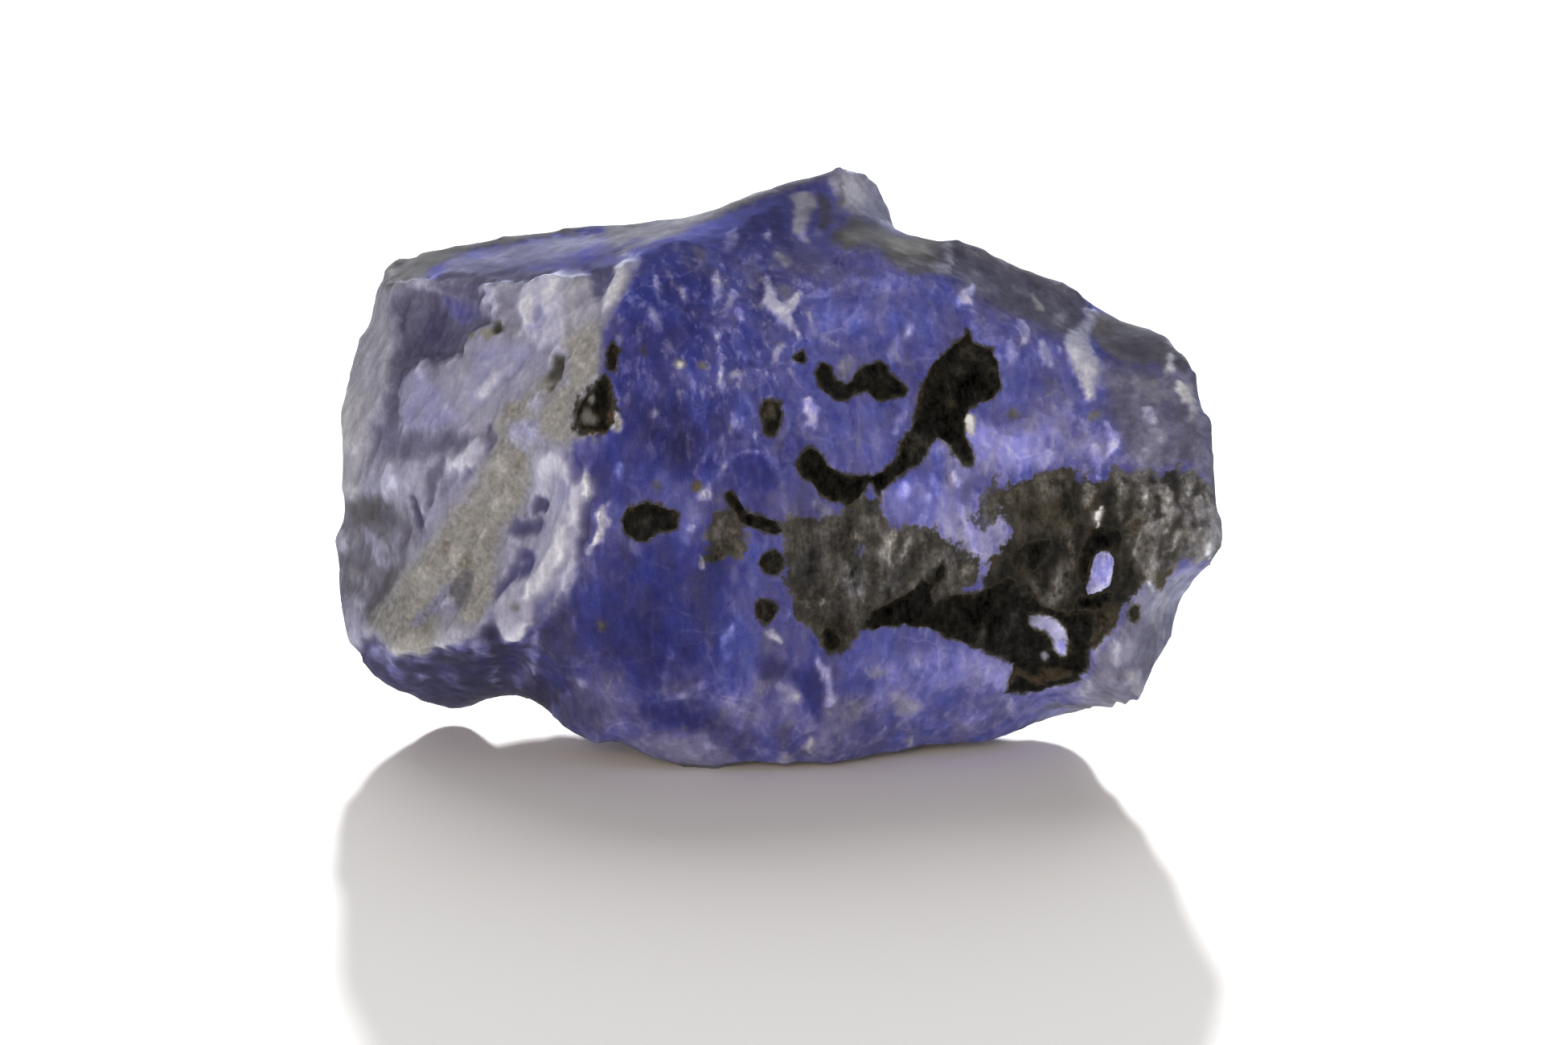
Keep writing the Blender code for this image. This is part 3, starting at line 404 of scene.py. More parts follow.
    ("streak", 92, 0.7, 7, [(1420, 770), (1424, 795)], 0.5),
    ("streak", 108, 0.9, 7, [(1368, 812), (1372, 840)], 0.5),

    # flakes and light cracks of the upper front face
    ("area", 146, 1.7, 3, [(916, 284), (921, 296), (911, 305), (904, 315), (897, 302), (905, 292)]),
    ("streak", 138, 1.5, 5, [(955, 286), (959, 301)], 0.9),
    ("streak", 112, 1.6, 4, [(843, 300), (843, 311)], 0.8),
    ("area", 150, 0.6, 4, [(987, 240), (1015, 236), (1018, 255), (1007, 266), (1003, 286),
                           (1006, 305), (996, 302), (989, 288), (991, 270), (985, 255)]),
    ("spot", 164, 1.8, (999, 294), (7, 9), 0, 0.9),
    ("spot", 168, 0.6, (994, 254), (7, 12), 0, 0.7),
    ("streak", 118, 1.3, 4, [(1015, 285), (1019, 295)], 0.8),
    ("streak", 138, 0.9, 6, [(963, 313), (972, 320), (982, 327)], 0.9),
    ("streak", 104, 1.3, 14, [(938, 318), (936, 336), (930, 354)], 0.6),
    ("streak", 128, 1.7, 6, [(889, 338), (893, 360), (888, 380)], 0.9),
    ("streak", 114, 1.6, 5, [(815, 346), (820, 368)], 0.9),
    ("streak", 122, 1.9, 7, [(847, 358), (852, 377)], 0.8),
    ("streak", 122, 1.8, 7, [(911, 362), (907, 376), (902, 392)], 0.9),
    ("streak", 132, 1.7, 5, [(919, 382), (924, 397)], 0.9),
    ("streak", 110, 1.4, 9, [(808, 379), (814, 394), (820, 409)], 0.8),
    ("streak", 128, 2.0, 6, [(886, 404), (892, 419)], 0.8),
    ("streak", 100, 1.6, 6, [(832, 330), (836, 350)], 0.5),
    ("streak", 96, 1.8, 6, [(868, 372), (866, 396)], 0.5),
    ("streak", 52, 2.0, 6, [(880, 330), (876, 356), (868, 380)], 0.5),
    ("streak", 48, 2.2, 8, [(930, 268), (940, 290)], 0.6),
    ("streak", 50, 2.2, 9, [(965, 258), (968, 290), (985, 310)], 0.7),
    ("streak", 54, 2.2, 7, [(840, 345), (832, 370)], 0.5),
    ("streak", 56, 2.4, 12, [(945, 352), (950, 380), (965, 405)], 0.6),
    ("streak", 100, 0.6, 9, [(868, 312), (876, 322)], 0.7),
    # hooked flake
    ("streak", 164, 1.3, 8, [(955, 345), (957, 367), (965, 385), (978, 396), (994, 414)], 1.0),
    ("streak", 184, 1.0, 8, [(994, 362), (989, 376), (976, 390)], 1.0),
    ("spot", 186, 1.3, (971, 386), (9, 8), 30, 0.9),
    ("streak", 148, 1.4, 6, [(990, 404), (997, 412)], 0.8),
    ("spot", 100, 0.6, (977, 360), (9, 12), 0, 0.7),
    # cracks of the middle
    ("streak", 108, 2.3, 6, [(997, 368), (1041, 357), (1061, 347), (1090, 352), (1117, 342)], 0.6),
    ("streak", 112, 2.2, 5, [(1074, 366), (1099, 360), (1117, 346)], 0.6),
    ("streak", 118, 2.3, 8, [(1117, 420), (1110, 438), (1108, 454)], 0.7),
    ("spot", 152, 2.0, (1130, 411), (6, 10), 0, 1.0),
    ("streak", 112, 2.3, 6, [(893, 430), (895, 456), (899, 486)], 0.8),
    ("spot", 152, 1.9, (898, 464), (7, 8), 0, 0.9),
    ("streak", 132, 2.1, 5, [(897, 474), (902, 482)], 0.8),
    ("streak", 108, 2.3, 4, [(905, 470), (922, 492), (940, 516)], 0.8),
    ("streak", 146, 1.3, 4, [(970, 428), (965, 440), (959, 454)], 0.9),
    ("streak", 162, 1.8, 8, [(1006, 498), (1009, 514), (1012, 532)], 1.0),
    ("streak", 138, 2.3, 7, [(1125, 502), (1120, 520), (1114, 538)], 0.8),
    ("spot", 130, 0.9, (816, 513), (8, 8), 0, 0.8),
    ("streak", 120, 2.0, 5, [(857, 463), (862, 487)], 0.8),
    ("streak", 98, 2.0, 5, [(803, 464), (806, 484)], 0.6),
    ("streak", 112, 2.4, 5, [(882, 498), (889, 520)], 0.8),
    ("spot", 108, 2.4, (914, 520), (12, 10), 0, 0.8),
    ("spot", 144, 0.8, (916, 466), (10, 7), 0, 0.8),
    ("spot", 52, 2.4, (928, 453), (14, 6), 0, 0.7),
    ("streak", 112, 1.1, 4, [(769, 418), (771, 430)], 0.8),
    ("streak", 104, 2.6, 5, [(757, 474), (763, 486), (767, 498)], 1.0),
    ("streak", 176, 0.1, 6, [(766, 512), (768, 524), (770, 538)], 1.0),
    ("streak", 136, 2.5, 6, [(768, 574), (770, 596)], 0.9),
    ("streak", 96, 2.4, 7, [(784, 676), (794, 692)], 0.7),
    ("streak", 50, 2.2, 7, [(886, 505), (896, 530)], 0.6),
    ("streak", 50, 2.2, 9, [(820, 560), (850, 580)], 0.5),
    ("streak", 90, 2.2, 5, [(852, 540), (868, 560)], 0.4),
    ("streak", 116, 2.1, 4, [(898, 540), (902, 562)], 0.8),
    ("streak", 118, 2.0, 4, [(920, 562), (902, 578), (889, 594), (879, 614)], 0.9),
    ("streak", 110, 2.1, 5, [(900, 544), (884, 556), (872, 574)], 0.7),
    ("streak", 112, 2.2, 4, [(924, 562), (949, 563), (964, 576), (974, 597), (970, 614), (979, 637)], 0.8),
    ("streak", 122, 2.1, 4, [(950, 556), (962, 566), (970, 584)], 0.7),
    ("spot", 192, 1.0, (878, 618), (8, 9), 0, 1.0),
    ("streak", 116, 2.0, 6, [(868, 630), (864, 648), (856, 668)], 0.8),
    ("spot", 166, 1.4, (862, 658), (5, 5), 0, 1.0),
    ("spot", 122, 2.3, (852, 673), (6, 6), 0, 0.9),
    ("streak", 190, 0.2, 4, [(868, 694), (872, 702), (877, 708)], 1.0),
    ("streak", 152, 1.2, 4, [(910, 748), (917, 758)], 1.0),
    ("streak", 108, 2.1, 5, [(902, 732), (912, 756), (924, 782)], 0.7),
    ("streak", 116, 2.8, 5, [(910, 779), (902, 798), (906, 818)], 0.9),
    ("spot", 92, 3.1, (920, 796), (18, 20), 0, 0.8),
    ("streak", 160, 0.7, 5, [(953, 784), (962, 792), (972, 801)], 1.0),
    ("streak", 100, 1.8, 5, [(698, 800), (695, 822), (705, 842), (722, 853)], 0.8),
    ("spot", 132, 1.5, (723, 852), (7, 6), 0, 0.9),
    ("spot", 90, 2.3, (835, 816), (9, 9), 0, 0.6),
    ("streak", 92, 2.5, 6, [(842, 867), (862, 860), (882, 852)], 0.8),
    ("spot", 98, 2.3, (797, 903), (9, 9), 0, 0.7),
    ("streak", 128, 1.5, 12, [(972, 852), (984, 862), (995, 876)], 0.9),
    ("spot", 150, 1.1, (993, 866), (8, 10), 30, 0.9),
    ("area", 58, 2.4, 5, [(982, 840), (1010, 834), (1024, 837), (1030, 855), (1025, 883), (1017, 904),
                          (1006, 880), (992, 854)]),
    ("streak", 152, 1.8, 7, [(1016, 820), (1029, 838), (1033, 858), (1033, 876)], 1.0),
    ("streak", 154, 0.5, 5, [(1005, 918), (1007, 932)], 0.9),
    ("spot", 126, 0.9, (978, 943), (12, 7), 0, 0.9),
    ("spot", 146, 0.4, (904, 948), (5, 6), 0, 0.9),
    ("spot", 120, 0.9, (1090, 837), (12, 9), 0, 0.8),
    ("area", 132, 1.1, 8, [(1112, 866), (1140, 868), (1144, 884), (1128, 894), (1116, 886)]),
    ("spot", 142, 0.7, (1130, 922), (7, 7), 0, 0.9),
    ("streak", 138, 1.3, 6, [(1257, 872), (1260, 892)], 0.9),
    ("streak", 88, 2.0, 8, [(1040, 890), (1052, 912)], 0.5),
    ("streak", 118, 1.9, 9, [(1200, 900), (1230, 905)], 0.5),
    # lobe along the lower edge
    ("area", 100, 1.4, 5, [(792, 930), (810, 917), (833, 915), (884, 915), (896, 924), (915, 941),
                           (906, 958), (869, 962), (843, 960), (823, 948), (802, 942)]),
    ("spot", 126, 1.5, (884, 929), (14, 7), 20, 0.8),
    ("streak", 112, 1.6, 7, [(812, 925), (840, 922)], 0.6),
    ("streak", 74, 1.0, 3, [(812, 912), (850, 910), (890, 913)], 0.7),
    # right of the middle: lavender with light streaks
    ("streak", 152, 2.3, 5, [(1186, 585), (1193, 606)], 0.9),
    ("streak", 154, 2.3, 5, [(1192, 626), (1203, 650), (1217, 690)], 0.9),
    ("streak", 138, 2.7, 6, [(1158, 590), (1165, 618)], 0.8),
    ("spot", 168, 1.9, (1155, 619), (6, 8), 0, 0.8),
    ("streak", 156, 2.4, 8, [(1124, 600), (1121, 618)], 0.9),
    ("streak", 156, 2.0, 8, [(1304, 558), (1300, 584)], 0.8),
    ("streak", 150, 1.9, 8, [(1359, 556), (1362, 572), (1365, 590)], 0.9),
    ("streak", 158, 2.0, 6, [(1378, 527), (1386, 546), (1380, 564)], 0.9),
    ("streak", 132, 2.2, 8, [(1330, 500), (1336, 520)], 0.4),
    ("area", 148, 1.5, 3, [(1264, 396), (1273, 400), (1281, 414), (1277, 430), (1269, 424), (1264, 410)]),
    ("streak", 136, 1.7, 6, [(1257, 418), (1256, 436), (1261, 454)], 0.9),
    ("streak", 138, 1.4, 7, [(1294, 424), (1301, 436), (1308, 452)], 0.9),
    ("streak", 134, 1.3, 4, [(1316, 428), (1318, 442)], 0.8),
    ("streak", 152, 1.7, 7, [(1210, 358), (1204, 368), (1195, 378)], 0.9),
    ("streak", 122, 1.9, 5, [(1161, 356), (1160, 368)], 0.7),
    ("streak", 194, -0.3, 8, [(1202, 518), (1206, 527), (1210, 538)], 1.0),
    ("streak", 74, 2.2, 8, [(1186, 344), (1190, 356)], 0.6),
    ("streak", 122, 0.9, 10, [(1014, 626), (1024, 636), (1032, 648)], 0.8),
    # what shows through the holes
    ("area", 150, 1.75, 3, [(1360, 684), (1378, 680), (1391, 694), (1388, 715), (1381, 734),
                            (1364, 744), (1346, 742), (1350, 722), (1354, 704)]),
    ("spot", 182, 1.9, (1374, 712), (9, 16), 10, 0.9),
    ("spot", 140, 1.2, (1356, 730), (8, 9), 20, 0.8),
    ("spot", 128, 1.3, (1372, 690), (10, 6), 0, 0.6),
    ("area", 134, 1.5, 3, [(1273, 758), (1292, 757), (1310, 762), (1326, 774), (1336, 786),
                           (1336, 803), (1332, 824), (1314, 822), (1304, 810), (1300, 796),
                           (1290, 788), (1276, 784)]),
    ("spot", 162, 1.7, (1318, 786), (8, 12), 0, 0.9),
    ("spot", 142, 2.9, (1320, 808), (8, 10), 0, 0.9),
    ("spot", 108, 0.8, (1284, 770), (8, 8), 0, 0.6),
    # clear grey above the pair of dark grains
    ("spot", 98, 0.9, (1050, 454), (16, 18), 0, 0.85),
    ("streak", 128, 0.9, 5, [(1044, 446), (1048, 466)], 0.7),
    # rust-coloured specks
    ("spot", 86, -2.0, (868, 604), (7, 8), 0, 1.0), ("spot", 82, 0.4, (816, 604), (9, 9), 0, 0.7),
    ("spot", 168, -1.2, (847, 454), (7, 5), 20, 1.0), ("spot", 100, -0.8, (873, 453), (7, 6), 0, 0.8),
    ("spot", 84, -0.4, (745, 780), (9, 8), 0, 0.9), ("spot", 104, -0.2, (1262, 514), (10, 8), 0, 0.9),
    ("spot", 100, -0.5, (1363, 516), (9, 8), 0, 0.8), ("spot", 112, -0.8, (968, 428), (3, 5), 0, 0.8),
    ("spot", 56, 0.6, (798, 434), (8, 8), 0, 0.9),
]
# grey-brown, silky mineral on the front
BROWN_COLOURS = [
    ("area", 84, 0.6, 8, [(1237, 585), (1240, 592), (1234, 617), (1235, 647), (1224, 662),
                          (1211, 652), (1211, 634), (1219, 617), (1228, 599)]),
    # sheet that hangs from the hook
    ("area", 62, -0.35, 7, [(972, 652), (990, 645), (1010, 642), (1030, 645), (1046, 642), (1056, 628),
                           (1072, 616), (1097, 612), (1100, 645), (1104, 658), (1117, 662),
                           (1138, 655), (1160, 655), (1180, 668), (1200, 680), (1212, 692),
                           (1222, 706), (1212, 726), (1180, 742), (1150, 748), (1122, 748),
                           (1102, 757), (1087, 768), (1071, 786), (1058, 802), (1046, 815),
                           (1028, 815), (1014, 802), (1009, 782), (990, 767), (981, 740),
                           (973, 719), (976, 698), (979, 682)]),
    ("spot", 52, 0.0, (1000, 704), (18, 28), 0, 0.8),
    ("spot", 54, -0.3, (1084, 628), (14, 24), 0, 0.7),
    ("spot", 96, 0.0, (1108, 690), (20, 34), 0, 0.7),
    ("spot", 100, 0.2, (1060, 722), (16, 22), -30, 0.7),
    ("spot", 88, -0.1, (1040, 662), (22, 14), 0, 0.7),
    ("spot", 78, 0.2, (1110, 726), (26, 12), 0, 0.6),
    ("spot", 94, 0.0, (1178, 702), (34, 22), 0, 0.7),
    ("spot", 40, -0.9, (1042, 786), (18, 28), 10, 0.9),
    ("spot", 52, -0.4, (1136, 712), (14, 18), 0, 0.6),
    # the light streaks and specks below are the sheet's fibres with painted sheen on them
    ("streak", 152, -0.4, 7, [(1109, 661), (1102, 683), (1105, 704)], 0.9),
    ("spot", 150, -0.6, (1066, 672), (7, 6), 0, 0.9),
    ("streak", 130, -0.1, 6, [(1128, 672), (1124, 696)], 0.7),
    ("streak", 140, 0.2, 8, [(1052, 708), (1064, 730), (1073, 748)], 0.7),
    ("streak", 128, 0.1, 6, [(1040, 724), (1048, 746)], 0.5),
    ("spot", 146, -0.3, (1020, 748), (5, 7), 0, 0.9),
    ("spot", 114, 1.8, (1069, 688), (7, 8), 0, 0.8),
    ("streak", 110, -0.3, 6, [(1086, 640), (1082, 660)], 0.6),
    ("streak", 118, 0.0, 6, [(1150, 660), (1146, 684)], 0.6),
    ("streak", 112, 0.0, 5, [(1096, 664), (1092, 688)], 0.5),
    ("streak", 44, -0.2, 6, [(1116, 672), (1112, 700)], 0.6),
    ("streak", 46, -0.2, 6, [(1078, 690), (1084, 716)], 0.5),
    ("streak", 50, -0.2, 7, [(1132, 690), (1128, 715)], 0.6),
    ("streak", 46, 0.0, 6, [(1020, 664), (1016, 690)], 0.5),
    ("streak", 44, -0.4, 6, [(1062, 640), (1058, 664)], 0.5),
    ("streak", 104, -0.1, 6, [(1000, 742), (1008, 762)], 0.5),
    ("spot", 128, -0.6, (1205, 706), (12, 8), 0, 0.7),
    ("streak", 24, -0.3, 6, [(1173, 702), (1164, 716), (1152, 730)], 1.0),
    ("area", 68, -0.5, 7, [(880, 638), (903, 632), (923, 640), (927, 663), (931, 684), (922, 693),
                           (903, 694), (888, 699), (877, 704), (869, 693), (880, 678), (880, 656)]),
    ("spot", 50, -0.6, (912, 642), (12, 12), 0, 0.8),
    ("streak", 96, -0.3, 5, [(894, 650), (892, 674)], 0.6),
    ("streak", 92, -0.3, 5, [(912, 660), (914, 684)], 0.6),
    # large patch on the right: olive brown on the left, scaly grey on the right
    ("area", 52, -0.6, 8, [(1240, 622), (1246, 610), (1256, 602), (1272, 601), (1283, 594), (1303, 588),
                           (1318, 582), (1339, 580), (1347, 594), (1354, 591), (1364, 594),
                           (1372, 591), (1385, 584), (1418, 586), (1441, 590), (1466, 577),
                           (1471, 588), (1489, 586), (1507, 598), (1513, 617), (1521, 655),
                           (1518, 683), (1508, 704), (1474, 696), (1460, 706), (1446, 738),
                           (1424, 724), (1410, 726), (1400, 760), (1340, 770), (1275, 765),
                           (1225, 730), (1228, 706), (1240, 690), (1252, 672), (1262, 658),
                           (1244, 644), (1236, 636)]),
    ("spot", 80, -0.5, (1314, 600), (34, 18), -10, 0.8),
    ("spot", 76, -0.5, (1262, 618), (22, 14), 0, 0.7),
    ("spot", 48, -0.8, (1302, 640), (28, 18), 0, 0.8),
    ("spot", 46, -0.6, (1262, 660), (16, 20), 30, 0.6),
    ("spot", 20, -0.4, (1284, 692), (44, 26), -24, 0.95),
    ("spot", 24, -0.4, (1240, 738), (38, 26), -30, 0.9),
    ("spot", 28, -0.4, (1262, 722), (30, 18), 0, 0.8),
    ("area", 30, -0.5, 9, [(1332, 700), (1346, 664), (1366, 648), (1390, 652), (1404, 672),
                           (1408, 700), (1412, 730), (1404, 752), (1384, 776), (1360, 802),
                           (1346, 822), (1330, 824), (1332, 790), (1322, 768), (1336, 744)]),
    ("spot", 78, -0.35, (1328, 704), (12, 44), 12, 0.85),
    ("spot", 92, -0.2, (1318, 728), (16, 16), 0, 0.7),
    ("spot", 78, -0.3, (1304, 744), (22, 12), 20, 0.8),
    ("streak", 104, -0.3, 5, [(1336, 676), (1328, 704), (1316, 734)], 0.7),
    ("streak", 34, -0.6, 6, [(1310, 690), (1304, 712), (1296, 730)], 0.6),
    ("spot", 40, -0.4, (1344, 640), (10, 30), 0, 0.6),
    ("spot", 48, -0.9, (1372, 776), (16, 10), -40, 0.6),
    ("streak", 66, -1.3, 5, [(1404, 752), (1388, 774), (1366, 796), (1350, 816)], 0.7),
    ("area", 84, 0.0, 10, [(1392, 594), (1418, 590), (1441, 594), (1468, 584), (1489, 590),
                           (1505, 600), (1511, 617), (1519, 655), (1516, 683), (1506, 702),
                           (1474, 692), (1455, 694), (1430, 700), (1412, 690), (1410, 650)]),
    ("spot", 56, -0.5, (1420, 620), (22, 18), 0, 0.7),
    ("spot", 58, -0.6, (1416, 668), (14, 28), 0, 0.7),
    ("spot", 60, -0.4, (1450, 650), (10, 36), 0, 0.6),
    ("streak", 134, -0.4, 7, [(1351, 597), (1352, 612), (1349, 630)], 0.9),
    ("streak", 88, -0.3, 7, [(1362, 634), (1358, 656)], 0.6),
    ("spot", 26, 0.1, (1376, 612), (8, 16), 0, 0.9),
    ("spot", 28, 0.0, (1374, 672), (22, 18), 0, 0.9),
    ("spot", 116, -0.2, (1390, 602), (8, 14), 0, 0.8),
    ("streak", 46, -0.5, 8, [(1406, 600), (1400, 626), (1408, 650)], 0.8),
    ("spot", 80, -0.9, (1413, 650), (10, 12), 0, 0.7),
    ("streak", 124, -0.1, 7, [(1448, 612), (1444, 636), (1442, 664)], 0.9),
    ("streak", 112, 0.1, 5, [(1424, 600), (1420, 624)], 0.6),
    ("streak", 34, 0.0, 8, [(1460, 574), (1458, 600), (1468, 628)], 0.9),
    ("streak", 132, 0.2, 5, [(1476, 598), (1480, 616), (1483, 630)], 0.9),
    ("streak", 40, 0.1, 6, [(1490, 594), (1486, 626), (1480, 654)], 0.7),
    ("streak", 134, 0.3, 6, [(1488, 616), (1493, 646)], 0.8),
    ("streak", 142, 0.3, 10, [(1506, 630), (1510, 660), (1504, 694)], 0.8),
    ("streak", 36, -0.3, 7, [(1462, 640), (1456, 664), (1460, 690)], 0.8),
    ("streak", 122, 0.0, 6, [(1472, 650), (1476, 676)], 0.7),
    ("streak", 116, -0.1, 5, [(1432, 640), (1430, 664)], 0.6),
    ("streak", 118, -0.1, 8, [(1436, 676), (1430, 706), (1432, 732)], 0.8),
    ("streak", 196, 0.6, 5, [(1426, 727), (1427, 743)], 1.0),
    ("streak", 104, -0.1, 6, [(1418, 668), (1422, 690)], 0.5),
    ("streak", 92, -1.5, 6, [(1472, 694), (1462, 708), (1455, 724)], 0.8),
    ("streak", 42, -0.9, 8, [(1458, 706), (1448, 722), (1447, 742)], 1.0),
    ("spot", 50, -0.6, (1414, 764), (7, 10), 0, 1.0),
    ("streak", 30, -0.6, 10, [(1404, 688), (1400, 712), (1406, 736)], 0.9),
    ("spot", 30, -0.4, (1358, 748), (26, 10), 0, 0.8),
    # painted highlight: a small white glint
    ("streak", 252, 0.0, 4, [(1373, 626), (1370, 640), (1366, 654)], 1.0),
    # fine upright scales of its grey side
    ("streak", 146, -0.2, 3, [(1428, 612), (1426, 624), (1424, 638)], 0.9),
    ("streak", 150, 0.0, 3, [(1452, 607), (1455, 620), (1455, 633)], 0.9),
    ("streak", 144, 0.1, 3, [(1468, 612), (1472, 626), (1475, 640)], 0.8),
    ("streak", 156, 0.2, 3, [(1485, 634), (1489, 646), (1492, 660)], 0.9),
    ("streak", 132, -0.2, 3, [(1420, 656), (1417, 672), (1413, 692)], 0.8),
    ("streak", 140, -0.1, 3, [(1436, 650), (1434, 662), (1432, 676)], 0.8),
    ("streak", 138, -0.1, 3, [(1463, 656), (1460, 670), (1457, 686)], 0.8),
    ("streak", 158, 0.2, 4, [(1501, 666), (1503, 684), (1502, 702)], 0.8),
    ("streak", 136, -0.1, 3, [(1496, 604), (1500, 618), (1502, 630)], 0.7),
    ("streak", 30, -0.4, 3, [(1403, 622), (1402, 636), (1400, 654)], 0.9),
    ("streak", 28, -0.3, 3, [(1441, 618), (1440, 632), (1438, 648)], 0.9),
    ("streak", 32, -0.3, 3, [(1461, 592), (1463, 604), (1462, 618)], 0.9),
    ("streak", 34, -0.3, 3, [(1477, 622), (1479, 636), (1480, 650)], 0.8),
    ("streak", 36, -0.3, 3, [(1446, 664), (1443, 680), (1445, 696)], 0.8),
    ("streak", 40, -0.3, 3, [(1474, 664), (1470, 680), (1470, 692)], 0.7),
    ("streak", 38, -0.5, 4, [(1424, 690), (1420, 706), (1418, 722)], 0.8),
    # dark hatching beside the ridge
    ("spot", 46, 0.9, (774, 458), (26, 44), 0, 0.75),
    ("streak", 26, 0.2, 6, [(752, 404), (758, 424), (762, 446)], 0.9),
    ("streak", 24, -0.2, 6, [(768, 428), (776, 446), (774, 466)], 0.9),
    ("streak", 34, 0.2, 6, [(784, 434), (788, 456), (784, 478)], 0.8),
    ("streak", 30, 0.2, 5, [(774, 478), (782, 496), (788, 506)], 0.8),
    ("streak", 40, 0.6, 5, [(796, 440), (802, 462)], 0.7),
    ("streak", 38, 0.7, 5, [(794, 474), (798, 494)], 0.7),
    ("streak", 78, 1.9, 4, [(768, 404), (772, 424)], 0.8),
    ("streak", 84, 2.0, 4, [(780, 420), (790, 440)], 0.6),
    ("streak", 96, 2.4, 5, [(757, 474), (763, 486), (768, 502)], 1.0),
    ("streak", 168, 0.1, 6, [(766, 510), (768, 524), (770, 540)], 1.0),
    ("area", 40, -0.2, 4, [(714, 532), (717, 508), (724, 492), (738, 480), (752, 468),
                           (764, 486), (766, 506), (764, 528), (750, 540), (732, 546),
                           (720, 542)]),
    ("streak", 36, -0.1, 6, [(748, 430), (750, 450), (746, 472)], 0.9),
    ("spot", 84, -0.2, (731, 518), (9, 11), 0, 0.8),
    ("spot", 104, 0.1, (738, 497), (5, 8), 10, 0.8),
    ("streak", 148, -0.8, 4, [(714, 540), (728, 545), (744, 544)], 0.7),
]
